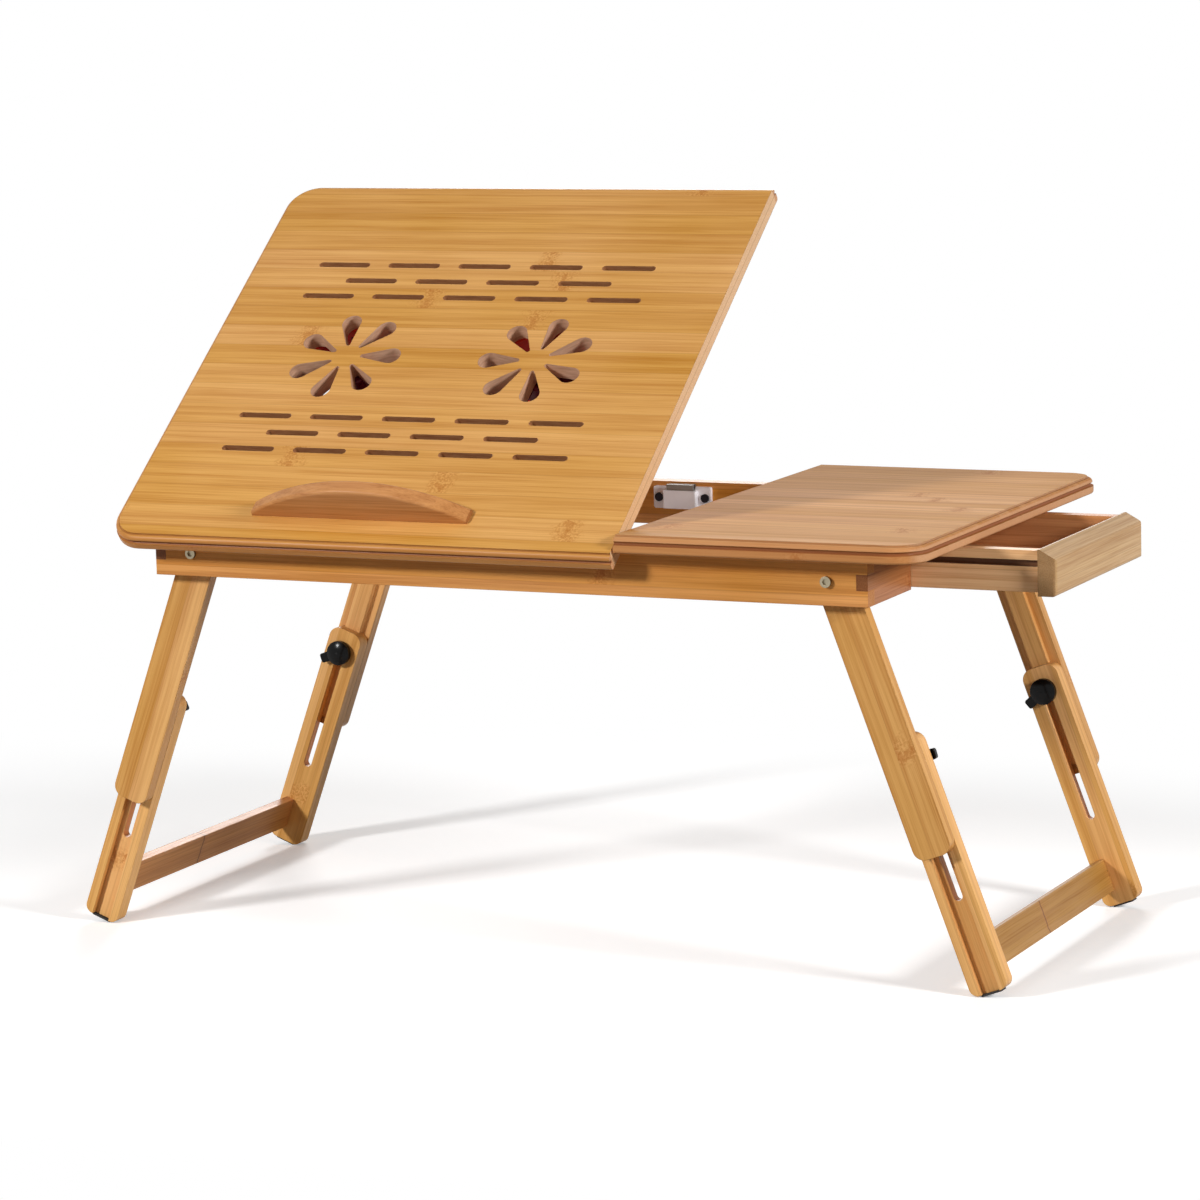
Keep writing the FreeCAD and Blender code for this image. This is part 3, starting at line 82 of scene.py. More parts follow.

# painted shade on moulded edges, in a groove and round a knuckle's bulge; the scorch that heat
# leaves; a knuckle's ring
# painted shade for a moulded edge: its face below the top, its quirk, and the cove under its bead
RIM_SHADE, QUIRK_SHADE, COVE_SHADE = srgb(178, 108, 62), srgb(146, 82, 42), srgb(120, 58, 28)
SCORCH = srgb(130, 78, 46), srgb(190, 136, 92)
TAUPE = srgb(158, 112, 86), srgb(232, 192, 160)
# painted shade for the drawer side's runner groove
GROOVE_SHADE = srgb(92, 46, 24)
# painted shade round a knuckle's bulge, and the knuckle's own dark ring
BULGE_SHADE, RING = srgb(176, 116, 62), srgb(104, 58, 28)


# ---------------------------------------------------------------- node graphs

class Graph:
    """A node tree, with short ways to add arithmetic and colour to it."""

    def __init__(self, owner, output):
        owner.use_nodes = True
        self.owner = owner
        self.tree = owner.node_tree
        self.tree.nodes.clear()
        self.out = self.tree.nodes.new(output)

    def put(self, socket, value):
        if isinstance(value, bpy.types.NodeSocket):
            self.tree.links.new(value, socket)
        else:
            socket.default_value = value

    def add(self, kind, inputs=(), **settings):
        """A new node, whose inputs are given in order or by name."""
        item = self.tree.nodes.new(kind)
        for key, value in settings.items():
            setattr(item, key, value)
        for key, value in inputs.items() if isinstance(inputs, dict) else enumerate(inputs):
            self.put(item.inputs[key], value)
        return item

    def math(self, operation, a, b=0.0, c=0.0):
        return self.add("ShaderNodeMath", (a, b, c), operation=operation).outputs[0]

    def ramp(self, value, low, high, start=0.0, end=1.0):
        """A smooth step from start to end as value goes from low to high."""
        return self.add("ShaderNodeMapRange", (value, low, high, start, end),
                        interpolation_type="SMOOTHSTEP").outputs[0]

    def band(self, value, low, high, soft):
        """1 between low and high, and 0 a little outside them."""
        return self.math("MULTIPLY", self.ramp(value, low - soft, low),
                         self.ramp(value, high + soft, high))

    def mix(self, factor, a, b):
        return self.add("ShaderNodeMix", {0: factor, 6: a, 7: b}, data_type="RGBA").outputs[2]

    def cover(self, colour, over, mask, share):
        """A colour with this share of another over it where the mask is 1."""
        return self.mix(self.math("MULTIPLY", mask, share), colour, over)

    def mix_shaders(self, factor, a, b):
        return self.add("ShaderNodeMixShader", (factor, a, b)).outputs[0]

    def noise(self, vector, scale=1.0, detail=2.0, rough=0.55):
        return self.add("ShaderNodeTexNoise", {"Vector": vector, "Scale": scale, "Detail": detail,
                                               "Roughness": rough}).outputs[0]

    def chance(self, a, b, c):
        """Random numbers, always the same ones for the same three numbers."""
        return self.add("ShaderNodeTexWhiteNoise", {"Vector": self.vector(a, b, c)},
                        noise_dimensions="3D").outputs

    def vector(self, x, y, z):
        return self.add("ShaderNodeCombineXYZ", (x, y, z)).outputs[0]

    def split(self, vector):
        return self.add("ShaderNodeSeparateXYZ", (vector,)).outputs

    def across_grain(self, x, y, z, scale):
        """A vector for a noise that is this many times finer across the grain."""
        return self.vector(x, self.math("MULTIPLY", y, scale), self.math("MULTIPLY", z, scale))

    def coords(self):
        return self.add("ShaderNodeTexCoord").outputs

    def turned(self, vector, along, across):
        """A vector in a piece's own axes: along the grain, across it, and through it."""
        along = Vector(along).normalized()
        across = Vector(across).normalized()
        through = along.cross(across)
        euler = Matrix((along, across, through)).to_euler("XYZ")
        return self.add("ShaderNodeMapping", {"Vector": vector, "Rotation": euler}).outputs[0]

    def inset(self, x, y, low, high, corner):
        """How far a point lies inside the outline of a board with round corners."""
        beyond = []
        for value, a, b in ((x, low[0], high[0]), (y, low[1], high[1])):
            off = self.math("ABSOLUTE", self.math("SUBTRACT", value, (a + b) / 2))
            beyond.append(self.math("SUBTRACT", off, (b - a) / 2 - corner))
        sides = [self.math("MAXIMUM", one, 0.0) for one in beyond]
        squares = self.math("ADD", self.math("MULTIPLY", sides[0], sides[0]),
                            self.math("MULTIPLY", sides[1], sides[1]))
        from_arc = self.math("SUBTRACT", corner, self.math("SQRT", squares))
        nearest = self.math("MINIMUM", self.math("MAXIMUM", beyond[0], beyond[1]), 0.0)
        return self.math("SUBTRACT", from_arc, nearest)

    def relief(self, height, strength, distance, edge):
        """A normal with a fine relief, and with edges softened to a radius."""
        bevel = self.add("ShaderNodeBevel", {"Radius": edge})
        return self.add("ShaderNodeBump", {"Height": height, "Strength": strength,
                                           "Distance": distance,
                                           "Normal": bevel.outputs[0]}).outputs[0]

    def seen(self):
        """1 for what the camera sees, straight or in a gloss, and 0 for light that bounces."""
        rays = self.add("ShaderNodeLightPath").outputs
        return self.math("MAXIMUM", rays["Is Camera Ray"], rays["Is Glossy Ray"])

    def principled(self, **sockets):
        """Ends a material in one shader, and returns the material."""
        shader = self.add("ShaderNodeBsdfPrincipled",
                          {key.replace("_", " "): value for key, value in sockets.items()})
        self.put(self.out.inputs[0], shader.outputs[0])
        return self.owner


def new_material(name):
    return Graph(bpy.data.materials.new(name), "ShaderNodeOutputMaterial")


def give(material, *names):
    for name in names:
        mesh = NODES[name].data
        mesh.materials.clear()
        mesh.materials.append(material)


# ---------------------------------------------------------------- bamboo
# A pair of lengths for a patch or a line says where it starts, and where it is full. A share is how
# strongly a mark colours the bamboo, and a range is the part of a noise that it is made from.

POSITIVE = 10.0                     # added to a place, so that its strips are counted from above 0
PLY = 0.019                         # how thick a strip is

KNUCKLE_MOTTLE = 0.030              # how far the mottling moves a knuckle's outline
KNUCKLE_PATCH = 0.0125, 0.0015      # its patch, from its middle
KNUCKLE_LINE = 0.0022, 0.0004       # and its line
KNUCKLE_SWIRL = 0.0040              # how far the fibres bend round it
SPECK_RANGE = 0.40, 0.62            # its specks
PATCH_SHARE, LINE_SHARE = 0.50, 0.40

FIBRE_WAVE = 5.0, 40.0              # the scale, along and across the grain, at which fibres waver
FIBRE_SWAY = 0.0018                 # and how far
SLIDE = 31.0                        # how far the fibres' pattern is moved from strip to strip
BROAD_SCALE = 3.4, 210.0            # the broad streaks' scale, along and across the grain
FINE_SCALE = 15.0, 1050.0           # and the fine threads'
BROAD_RANGE, FINE_RANGE = (0.30, 0.70), (0.26, 0.60)
BROAD_SHARE, FINE_SHARE = 0.60, 0.40
THREAD_ROUGH = 0.12                 # how much rougher it is between the threads

CLOUDS = 0.24                       # how much soft clouds change the tone
PALE_FADE = 0.5                     # how much saturation a paler tone costs
GLUE_LINE = 0.0005, 0.0001          # the line between strips, from the joint
LAYER_LINE = 0.0004, 0.0001         # the line between a board's layers
LAYERS_BELOW = 10                   # layers are counted from this many below the top
LAYER_SHARE = 0.5
EDGE_ON = 0.7, 0.3                  # how nearly level a face is where layers start, and are full
END_ON = 0.60, 0.92                 # how nearly square to the grain a face is, for end grain
END_SHARE = 0.75
PORE_SCALE = 1500.0                 # the dots in end grain
PORE_RANGE, PORE_TONES = (0.38, 0.62), (0.25, 0.80)
DARK = 0.42                         # a glue line's colour, as a part of the deep colour
AMBER = (0.86, 0.66, 0.42)          # a knuckle's, in the same way, channel by channel


def knuckles(g, place, x, row, ply, shift, spacing, share):
    """Knuckles along a strip, a share of which show: their mottling, patches and lines."""
    run = g.math("ADD", x, g.math("MULTIPLY_ADD", shift, spacing, POSITIVE))
    count = g.math("DIVIDE", run, spacing)
    from_middle = g.math("ABSOLUTE", g.math("SUBTRACT", g.math("FRACT", count), 0.5))
    off = g.math("MULTIPLY", from_middle, spacing)
    lot = g.chance(row, g.math("FLOOR", count), ply)
    shown = g.math("LESS_THAN", lot["Value"], share)
    mottle = g.noise(place, scale=130.0, detail=3.0, rough=0.65)
    ragged = g.math("MULTIPLY_ADD", g.math("SUBTRACT", mottle, 0.5), KNUCKLE_MOTTLE, off)
    patch = g.math("MULTIPLY", g.ramp(ragged, *KNUCKLE_PATCH), shown)
    line = g.math("MULTIPLY", g.ramp(ragged, *KNUCKLE_LINE), shown)
    return mottle, patch, line


def fibres(g, x, y, z, slide, mottle, patch):
    """Broad soft streaks and fine threads, which waver, and bend round a knuckle."""
    wave = g.noise(g.vector(g.math("MULTIPLY", x, FIBRE_WAVE[0]),
                            g.math("MULTIPLY", y, FIBRE_WAVE[1]), slide), detail=1.0)
    sway = g.math("MULTIPLY", g.math("SUBTRACT", wave, 0.5), FIBRE_SWAY)
    swirl = g.math("MULTIPLY", g.math("MULTIPLY", patch, KNUCKLE_SWIRL),
                   g.math("SUBTRACT", mottle, 0.5))
    bent = g.math("ADD", y, g.math("ADD", sway, swirl))
    broad_run = g.math("MULTIPLY_ADD", x, BROAD_SCALE[0], slide)
    fine_run = g.math("MULTIPLY_ADD", x, FINE_SCALE[0], slide)
    broad = g.noise(g.across_grain(broad_run, bent, z, BROAD_SCALE[1]), detail=3.0, rough=0.62)
    fine = g.noise(g.across_grain(fine_run, bent, z, FINE_SCALE[1]), detail=2.0, rough=0.7)
    return g.ramp(broad, *BROAD_RANGE), g.ramp(fine, *FINE_RANGE)


def joint_lines(g, value, size, line):
    """1 on the lines between equal steps of a size, and 0 away from them."""
    part = g.math("FRACT", g.math("DIVIDE", value, size))
    off = g.math("MULTIPLY", g.math("MINIMUM", part, g.math("SUBTRACT", 1.0, part)), size)
    return g.ramp(off, *line)


def bamboo(name, along, across, colours, strip=0.019, seed=0.0, tone=0.08, joint=0.18,
           knuckle=0.33, share=0.45, gloss=0.34, shine=0.16, coat=0.02,
           ends=None, layers=None, touches=()):
    """Lacquered bamboo: strips with their own tone, fibres along them and a few knuckles.

    strip is a strip's width, tone how much the strips differ, joint how dark the lines between
    them are, knuckle the distance between knuckles, and share the part of them that show.
    ends are the end grain's two colours, layers a board's upper face and the thickness of its
    layers, and touches are functions that colour it further.
    """
    pale, deep = colours
    dark, amber = times(deep, DARK), times(deep, AMBER)
    g = new_material(name)
    coords = g.coords()
    place = g.turned(coords["Object"], along, across)
    normal = g.split(g.turned(coords["Normal"], along, across))
    x, y, z = g.split(place)

    # each strip has three numbers of its own, which shift and shade it
    shifted = g.math("ADD", y, POSITIVE + seed)
    row = g.math("FLOOR", g.math("DIVIDE", shifted, strip))
    ply = g.math("FLOOR", g.math("DIVIDE", g.math("ADD", z, POSITIVE), PLY))
    own = g.split(g.chance(row, ply, seed)["Color"])

    mottle, patch, line = knuckles(g, place, x, row, ply, own[0], knuckle, share)
    slide = g.math("MULTIPLY", own[1], SLIDE)
    streak, thread = fibres(g, x, y, z, slide, mottle, patch)
    body = g.math("ADD", g.math("MULTIPLY", streak, BROAD_SHARE),
                  g.math("MULTIPLY", thread, FINE_SHARE))
    colour = g.mix(body, deep, pale)

    # the strip's own tone, and soft clouds over all of them
    cloud = g.noise(place, scale=9.0, detail=2.0, rough=0.5)
    shade = g.math("MULTIPLY", g.math("SUBTRACT", own[2], 0.5), tone * 2)
    shade = g.math("ADD", shade, g.math("MULTIPLY", g.math("SUBTRACT", cloud, 0.5), CLOUDS))
    colour = g.add("ShaderNodeHueSaturation", {
        "Color": colour,
        "Value": g.math("ADD", 1.0, shade),
        "Saturation": g.math("SUBTRACT", 1.0, g.math("MULTIPLY", shade, PALE_FADE)),
    }).outputs[0]

    # the lines between strips, then the knuckles
    colour = g.cover(colour, dark, joint_lines(g, shifted, strip, GLUE_LINE), joint)
    specks = g.noise(place, scale=620.0, detail=2.0, rough=0.6)
    speckled = g.mix(g.ramp(specks, *SPECK_RANGE), amber, pale)
    colour = g.cover(colour, speckled, patch, PATCH_SHARE)
    colour = g.cover(colour, amber, line, LINE_SHARE)

    # end grain is dotted, and the layers show as lines on the edges
    butt = g.ramp(g.math("ABSOLUTE", normal[0]), *END_ON)
    dots = g.ramp(g.noise(g.across_grain(0.0, y, z, PORE_SCALE)), *PORE_RANGE, *PORE_TONES)
    colour = g.cover(colour, g.mix(dots, *(ends or (dark, deep))), butt, END_SHARE)
    if layers:
        top, thick = layers
        height = g.math("SUBTRACT", z, top - LAYERS_BELOW * thick)
        side = g.ramp(g.math("ABSOLUTE", normal[2]), *EDGE_ON)
        glue = g.math("MULTIPLY", joint_lines(g, height, thick, LAYER_LINE), side)
        colour = g.cover(colour, dark, glue, LAYER_SHARE)
    for touch in touches:
        colour = touch(g, colour, (x, y, z), normal)

    rough = g.math("MULTIPLY_ADD", g.math("SUBTRACT", 1.0, thread), THREAD_ROUGH, gloss)
    return g.principled(Base_Color=colour, Roughness=rough,
                        Normal=g.relief(body, strength=0.14, distance=0.0002, edge=0.0007),
                        Specular_IOR_Level=shine, Coat_Weight=coat, Coat_Roughness=0.24)


# ---------------------------------------------------------------- touches on bamboo

BOARD_CORNER = 0.022                # the radius of the boards' corners
MOULD_SOFT = 0.0003
# where each mark lies: in from the board's outline, and down from its upper face
QUIRK_IN, QUIRK_DOWN = (0.0033, 0.0043), (0.0003, 0.0016)
COVE_IN, COVE_DOWN = (0.0029, 0.0024), (0.0041, 0.0061)
RIM_IN, RIM_DOWN = (0.0042, 0.0036), (0.0008, 0.0016)
QUIRK_SHARE, COVE_SHARE, RIM_SHARE = 0.55, 0.70, 0.50

VENTS_IN = 0.012                    # further in than this, an upright face is a vent's wall
FLOWER_REACH = 0.044                # and nearer than this to a flower's middle, a petal's
WALL_ON = 0.80, 0.40                # how nearly level a face is where a wall starts, and is full
DAPPLE_SCALE = 90.0, 90.0, 600.0

GROOVE_DOWN, GROOVE_SOFT = (0.0060, 0.0102), 0.0001
GROOVE_DEEP = 0.0001, 0.0006
GROOVE_SHARE = 0.85

RING_WOBBLE = 0.004
RING_OFF = 0.006                    # how far it is from the bar's middle
# how far the bulge's painted shade and the ring reach, and how strongly they colour it
BULGE_SHADE_REACH, RING_REACH = (0.0060, 0.0015), (0.0012, 0.0003)
BULGE_SHADE_SHARE, RING_SHARE = 0.30, 0.75


def moulded(low, high, top):
    """Painted shade round a board's moulded edge: over its face below the top, darker in the quirk,
    and darkest in the cove under the bead.
    """
    def touch(g, colour, place, normal):
        inset = g.inset(place[0], place[1], low, high, BOARD_CORNER)
        depth = g.math("SUBTRACT", top, place[2])
        quirk = g.math("MULTIPLY", g.band(inset, *QUIRK_IN, MOULD_SOFT),
                       g.band(depth, *QUIRK_DOWN, MOULD_SOFT))
        cove = g.math("MULTIPLY", g.ramp(inset, *COVE_IN), g.band(depth, *COVE_DOWN, MOULD_SOFT))
        rim = g.math("MULTIPLY", g.ramp(inset, *RIM_IN), g.ramp(depth, *RIM_DOWN))
        # painted shade on the edge's face, then in the quirk and in the cove
        colour = g.cover(colour, RIM_SHADE, rim, RIM_SHARE)
        colour = g.cover(colour, QUIRK_SHADE, quirk, QUIRK_SHARE)
        return g.cover(colour, COVE_SHADE, cove, COVE_SHARE)
    return touch


def vented(low, high, flowers):
    """Vent walls as a hot cutter leaves them: brown in the slots, grey-brown in the petals."""
    def touch(g, colour, place, normal):
        x, y, z = place
        wall = g.ramp(g.math("ABSOLUTE", normal[2]), *WALL_ON)
        inside = g.math("GREATER_THAN", g.inset(x, y, low, high, BOARD_CORNER), VENTS_IN)
        apart = 1.0
        for middle in flowers:
            dx, dy = g.math("SUBTRACT", x, middle[0]), g.math("SUBTRACT", y, middle[1])
            squares = g.math("MULTIPLY_ADD", dx, dx, g.math("MULTIPLY", dy, dy))
            apart = g.math("MINIMUM", g.math("SQRT", squares), apart)
        petal = g.math("LESS_THAN", apart, FLOWER_REACH)
        finer = [g.math("MULTIPLY", one, scale) for one, scale in zip(place, DAPPLE_SCALE)]
        dapple = g.noise(g.vector(*finer), detail=3.0)
        burnt = g.mix(petal, g.mix(dapple, *SCORCH), g.mix(dapple, *TAUPE))
        return g.mix(g.math("MULTIPLY", wall, inside), colour, burnt)
    return touch


def grooved(face, top):
    """A drawer side's runner groove, darkened with painted shade."""
    def touch(g, colour, place, normal):
        # the piece's own axes here are X, Z and their cross product, which is -Y
        deep = g.math("SUBTRACT", g.math("MULTIPLY", place[2], -1.0), face)
        down = g.math("SUBTRACT", top, place[1])
        groove = g.math("MULTIPLY", g.band(down, *GROOVE_DOWN, GROOVE_SOFT),
                        g.ramp(deep, *GROOVE_DEEP))
        # painted shade in the groove
        return g.cover(colour, GROOVE_SHADE, groove, GROOVE_SHARE)
    return touch


def ringed(at):
    """One whole knuckle across a stick: a thin dark ring, in a wider, fainter band of painted shade
    for the knuckle's bulge.
    """
    def touch(g, colour, place, normal):
        wobble = g.noise(g.across_grain(0.0, place[1], place[2], 160.0))
        off = g.math("ABSOLUTE", g.math("MULTIPLY_ADD", g.math("SUBTRACT", wobble, 0.5),
                                        RING_WOBBLE, g.math("SUBTRACT", place[0], at)))
        # painted shade for the knuckle's bulge
        colour = g.mix(g.ramp(off, *BULGE_SHADE_REACH, 0.0, BULGE_SHADE_SHARE), colour, BULGE_SHADE)
        return g.mix(g.ramp(off, *RING_REACH, 0.0, RING_SHARE), colour, RING)
    return touch


# ---------------------------------------------------------------- plastic and metal

PLASTIC_TONES = 0.82, 1.06          # from its colour, the darkest and the lightest
PLASTIC_UNEVEN = 0.08               # how much the roughness varies
METAL_DULL = 0.72                   # from its colour, the dullest plating
METAL_UNEVEN = 0.14
BRUSH_SCALE = (300.0, 2600.0, 2600.0)


def plastic(name, colour, roughness, grain, shine=0.5):
    """Moulded plastic with a faint unevenness of colour and surface."""
    g = new_material(name)
    place = g.coords()["Object"]
    uneven = g.noise(place, scale=60.0, detail=3.0)
    skin = g.noise(place, scale=2600.0)
    rough = g.math("ADD", roughness - PLASTIC_UNEVEN / 2,
                   g.math("MULTIPLY", uneven, PLASTIC_UNEVEN))
    darker, lighter = (times(colour, tone) for tone in PLASTIC_TONES)
    return g.principled(Base_Color=g.mix(uneven, darker, lighter),
                        Roughness=rough, Specular_IOR_Level=shine,
                        Normal=g.relief(skin, strength=grain, distance=0.0001, edge=0.0006))


def metal(name, colour, roughness):
    """Plated metal with fine brushing and slightly clouded plating."""
    g = new_material(name)
    place = g.coords()["Object"]
    cloud = g.noise(place, scale=150.0, detail=3.0)
    brushed = g.add("ShaderNodeMapping", {"Vector": place, "Scale": BRUSH_SCALE})
    lines = g.noise(brushed.outputs[0])
    rough = g.math("ADD", roughness, g.math("MULTIPLY", cloud, METAL_UNEVEN))
    return g.principled(Base_Color=g.mix(cloud, times(colour, METAL_DULL), colour),
                        Roughness=rough, Metallic=1.0,
                        Normal=g.relief(lines, strength=0.10, distance=0.00005, edge=0.0004))


# ---------------------------------------------------------------- what the touches are fitted to

PAST_SEAM = 0.1         # no moulding runs along the seam, so the outline goes on this far past it
LAYER = 0.0057          # a board has two layers of this thickness


def spread(name, axis):
    """The lowest and highest a node's points reach along an axis."""
    axis = Vector(axis).normalized()
    reach = [axis.dot(vertex.co) for vertex in NODES[name].data.vertices]
    return min(reach), max(reach)


def board_edges(name, along, across, seam):
    """A board's outline in its own axes, stretched past its seam, and its upper face."""
    through = Vector(along).cross(Vector(across))
    (x_low, x_high), (y_low, y_high) = spread(name, along), spread(name, across)
    if seam < 0:
        x_low -= PAST_SEAM
    else:
        x_high += PAST_SEAM
    return (x_low, y_low), (x_high, y_high), spread(name, through)[1]


panel_low, panel_high, panel_top = board_edges("tilt_panel", X, UP_PANEL, 1)
top_low, top_high, top_top = board_edges("fixed_top", X, Y, -1)
side_low, side_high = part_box("drawer_side_front")
flowers = []
for name in ("impeller_left", "impeller_right"):
    fan_low, fan_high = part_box(name)
    middle = (fan_low + fan_high) / 2
    flowers.append((middle.x, middle.dot(Vector(UP_PANEL))))

# ---------------------------------------------------------------- materials on the CAD pieces

give(bamboo("panel_bamboo", X, UP_PANEL, PANEL, seed=0.3,
            ends=CREAM_ENDS, layers=(panel_top, LAYER),
            touches=(moulded(panel_low, panel_high, panel_top),
                     vented(panel_low, (panel_high[0] - PAST_SEAM, panel_high[1]), flowers))),
     "tilt_panel")
give(bamboo("stop_bamboo", X, UP_PANEL, LAPTOP_STOP, seed=0.9, tone=0.04, share=0.0),
     "laptop_stop")
give(bamboo("top_bamboo", X, Y, SIDE_TOP, seed=0.7, tone=0.12, gloss=0.46, shine=0.0, coat=0.12,
            ends=CREAM_ENDS, layers=(top_top, LAYER),
            touches=(moulded(top_low, top_high, top_top),)),
     "fixed_top")
give(bamboo("rail_bamboo", X, Z, RAIL, seed=0.2),
     "front_rail", "back_rail", "drawer_guide_front", "drawer_guide_back", "rack_battens")
give(bamboo("end_bamboo", Y, Z, END, seed=0.5),
     "left_end_rail", "end_stub_front", "end_stub_back", "partition", "rack_left", "rack_right")
give(bamboo("drawer_side_bamboo", X, Z, DRAWER_SIDE, seed=0.8, gloss=0.42,
            touches=(grooved(side_low.y, side_high.z),)),
     "drawer_side_front")
give(bamboo("drawer_inner_bamboo", X, Z, DRAWER_INNER, seed=0.6, gloss=0.42),
     "drawer_side_back", "drawer_bottom")
give(bamboo("drawer_front_bamboo", Y, Z, DRAWER_FRONT, seed=0.35, gloss=0.42),
     "drawer_front", "drawer_back")
give(bamboo("prop_bamboo", DOWN_PROP, X, RAIL, seed=0.15), "prop_arm_left", "prop_arm_right")
give(bamboo("bearing_bamboo", X, UP_PANEL, RAIL, seed=0.45), "prop_bearings")

for side, shift in (("left", 0.11), ("right", 0.63)):
    along, across = LEGS[side]
    give(bamboo(side + "_upper_leg_bamboo", along, across, UPPER_LEG, seed=shift,
                strip=0.0130, tone=0.09, knuckle=0.21, share=0.7, joint=0.15),
         side + "_front_upper_leg", side + "_back_upper_leg")
    give(bamboo(side + "_lower_leg_bamboo", along, across, LOWER_LEG, seed=shift + 0.2,
                strip=0.0140, tone=0.08, knuckle=0.24, joint=0.15),
         side + "_front_lower_leg", side + "_back_lower_leg")
    bar = side + "_crossbar"
    bar_low, bar_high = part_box(bar)
    ring = ringed((bar_low.y + bar_high.y) / 2 - RING_OFF)
    give(bamboo(bar + "_bamboo", Y, along, CROSSBARS[side], seed=shift + 0.4,
                strip=0.016, tone=0.05, share=0.0, joint=0.1, touches=(ring,)),
         bar)

give(metal("zinc_steel", srgb(186, 182, 174), roughness=0.28),
     "hinge_frame_leaves", "hinge_frame_screws", "hinge_pins",
     "hinge_panel_leaves", "hinge_panel_screws", "fan_screws", "prop_rod")
give(metal("pivot_steel", srgb(172, 160, 134), roughness=0.24), "pivot_bolts", "pivot_nuts")
# near black: painted shade, for the dark holes that the catch's screws sit in
give(metal("catch_screw_shade", srgb(46, 42, 46), roughness=0.36), "catch_screws")
give(metal("pole_steel", srgb(150, 146, 140), roughness=0.34), "catch_plates", "strike_plate")
give(metal("insert_brass", srgb(214, 176, 96), roughness=0.30), "left_inserts", "right_inserts")
give(plastic("catch_plastic", srgb(252, 246, 250), roughness=0.34, grain=0.05), "catch_body")
give(plastic("knob_plastic", srgb(7, 6, 6), roughness=0.20, grain=0.04, shine=0.14),
     "left_front_knob", "left_back_knob", "right_front_knob", "right_back_knob")
give(plastic("fan_plastic", srgb(208, 42, 22), roughness=0.44, grain=0.10, shine=0.2),
     "fan_frame_left", "fan_frame_right")
give(plastic("impeller_plastic", srgb(112, 34, 50), roughness=0.40, grain=0.08, shine=0.2),
     "impeller_left", "impeller_right")
give(plastic("foot_rubber", srgb(34, 32, 30), roughness=0.78, grain=0.30),
     "left_foot_pads", "right_foot_pads")

# ---------------------------------------------------------------- floor

FLOOR_REACH = 40.0
PAPER = grey(0.95), grey(0.98)
BOUNCE_PAPER = grey(0.32)       # as bounced light finds it: darker, to light the table less
FLOOR_LIFT = 0.24               # what it shows beyond the light that falls on it
POOL = 0.62, 0.36               # the half-widths of the part that shows the table's shadow
POOL_EDGE = 1.0, 1.7            # where that starts to fade to plain white, and where it ends

floor_mesh = bpy.data.meshes.new("floor")
corners = [(-FLOOR_REACH, -FLOOR_REACH, 0), (FLOOR_REACH, -FLOOR_REACH, 0),
           (FLOOR_REACH, FLOOR_REACH, 0), (-FLOOR_REACH, FLOOR_REACH, 0)]
floor_mesh.from_pydata(corners, [], [(0, 1, 2, 3)])
floor = bpy.data.objects.new("floor", floor_mesh)
bpy.context.scene.collection.objects.link(floor)

g = new_material("floor_paper")
spot = g.coords()["Object"]
spot_x, spot_y, _ = g.split(spot)
wide, deep = g.math("DIVIDE", spot_x, POOL[0]), g.math("DIVIDE", spot_y, POOL[1])
out = g.math("SQRT", g.math("MULTIPLY_ADD", wide, wide, g.math("MULTIPLY", deep, deep)))
seen = g.seen()
pale = g.mix(g.noise(spot, scale=3.0), *PAPER)
paper = g.add("ShaderNodeBsdfDiffuse", {"Color": g.mix(seen, BOUNCE_PAPER, pale)})
lift = g.add("ShaderNodeEmission", {"Strength": g.math("MULTIPLY", seen, FLOOR_LIFT)})
pool = g.add("ShaderNodeAddShader", (paper.outputs[0], lift.outputs[0]))
white = g.add("ShaderNodeEmission", {"Strength": 1.0})
away = g.math("MULTIPLY", g.ramp(out, *POOL_EDGE), seen)
g.put(g.out.inputs[0], g.mix_shaders(away, pool.outputs[0], white.outputs[0]))
floor_mesh.materials.append(g.owner)

# ---------------------------------------------------------------- light

AMBIENT = 0.15                  # the light that the world gives
BACKDROP = 1.0                  # the white that it shows to the camera
LAMP_AIM = (0, 0, 0.25)         # the middle of the table

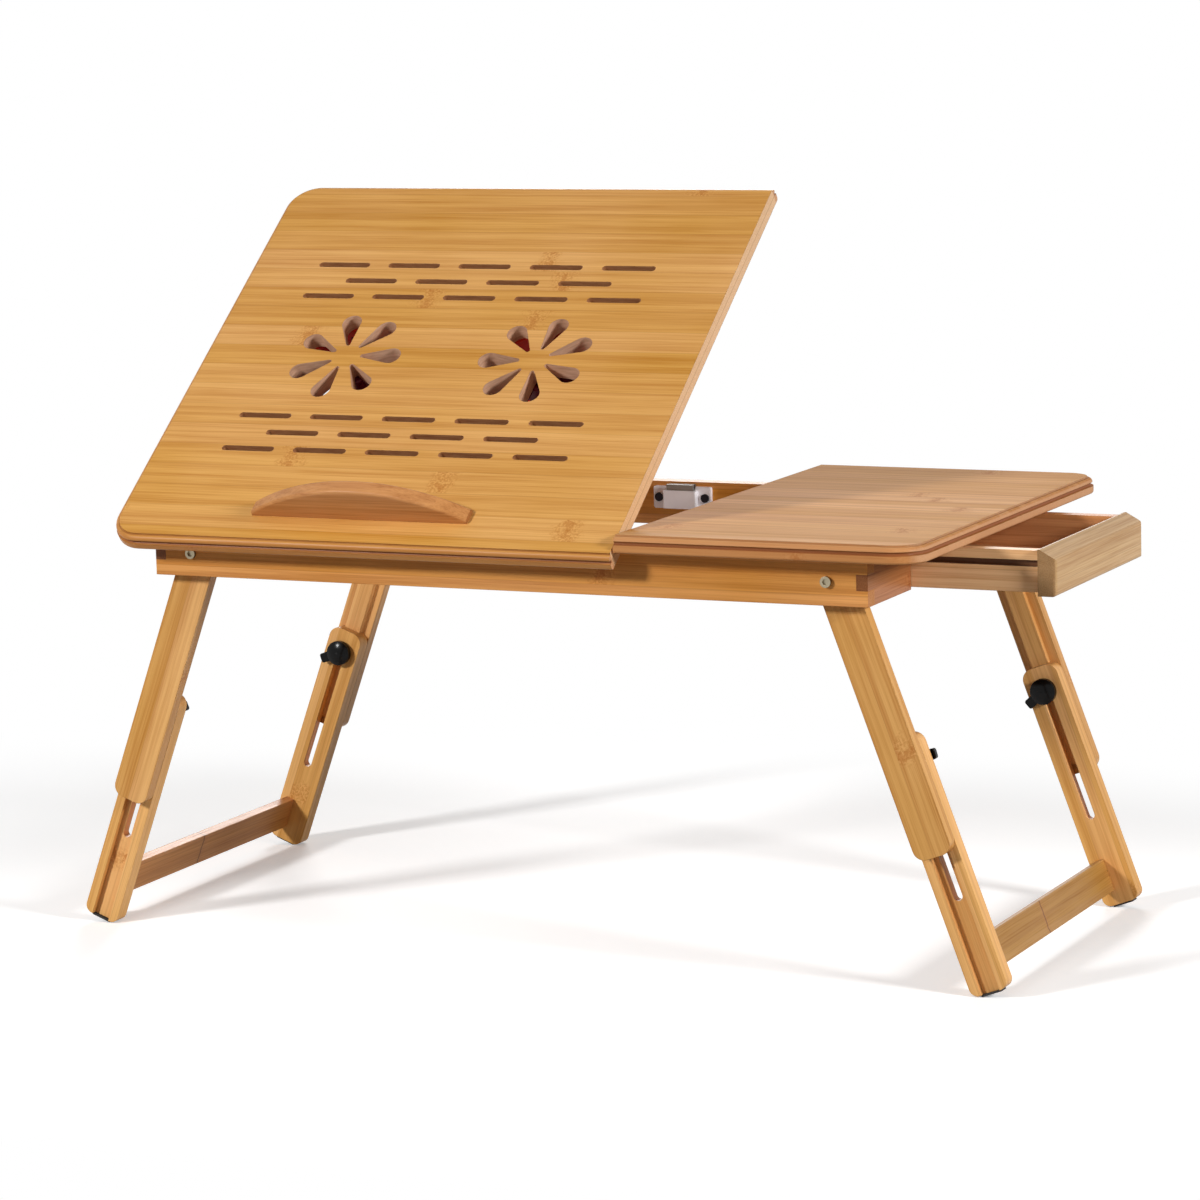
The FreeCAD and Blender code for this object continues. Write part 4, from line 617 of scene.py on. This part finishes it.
world = bpy.data.worlds.new("studio")
bpy.context.scene.world = world
g = Graph(world, "ShaderNodeOutputWorld")
ambient = g.add("ShaderNodeBackground", {"Color": grey(1.0), "Strength": AMBIENT})
shown = g.add("ShaderNodeBackground", {"Color": grey(1.0), "Strength": BACKDROP})
g.put(g.out.inputs[0], g.mix_shaders(g.seen(), ambient.outputs[0], shown.outputs[0]))


def lamp(name, place, size, power):
    data = bpy.data.lights.new(name, "AREA")
    data.shape = "RECTANGLE"
    data.size = data.size_y = size
    data.energy = power
    item = bpy.data.objects.new(name, data)
    bpy.context.scene.collection.objects.link(item)
    item.location = place
    item.rotation_euler = (Vector(LAMP_AIM) - Vector(place)).to_track_quat("-Z", "Y").to_euler()


lamp("key", (-1.25, -1.95, 1.2), size=0.34, power=41)
lamp("side", (2.35, -0.6, 1.1), size=0.50, power=48)
lamp("back", (-0.9, 2.4, 1.5), size=0.90, power=32)

# ---------------------------------------------------------------- camera
# It was fitted to the table's own corners and edges in the photograph.

AZIMUTH, ELEVATION, ROLL = math.radians(25.27), math.radians(9.15), math.radians(-1.56)
DISTANCE = 2.7606
FOCAL_PIXELS, PHOTO_PIXELS = 4421.9, 1200
SENSOR = 36.0                   # millimetres, as Blender takes it
# where the camera aims, from the upper, outer corner at the front rail's left end
AIM_OFF = Vector((0.32024, 0.0, -0.03303))

back = Vector((math.sin(AZIMUTH) * math.cos(ELEVATION), -math.cos(AZIMUTH) * math.cos(ELEVATION),
               math.sin(ELEVATION)))
right = Vector((math.cos(AZIMUTH), math.sin(AZIMUTH), 0))
up = back.cross(right)
leant_right = right * math.cos(ROLL) + up * math.sin(ROLL)
leant_up = -right * math.sin(ROLL) + up * math.cos(ROLL)
rail_low, rail_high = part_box("front_rail")
target = Vector((rail_low.x, rail_low.y, rail_high.z)) + AIM_OFF

data = bpy.data.cameras.new("photo_camera")
data.sensor_width = SENSOR
data.lens = FOCAL_PIXELS / PHOTO_PIXELS * SENSOR
data.clip_start, data.clip_end = 0.05, 200.0
camera = bpy.data.objects.new("photo_camera", data)
bpy.context.scene.collection.objects.link(camera)
turn = Matrix((leant_right, leant_up, back)).transposed().to_4x4()
camera.matrix_world = Matrix.Translation(target + back * DISTANCE) @ turn
bpy.context.scene.camera = camera
bpy.context.scene.view_settings.view_transform = "Standard"

bpy.context.view_layer.update()
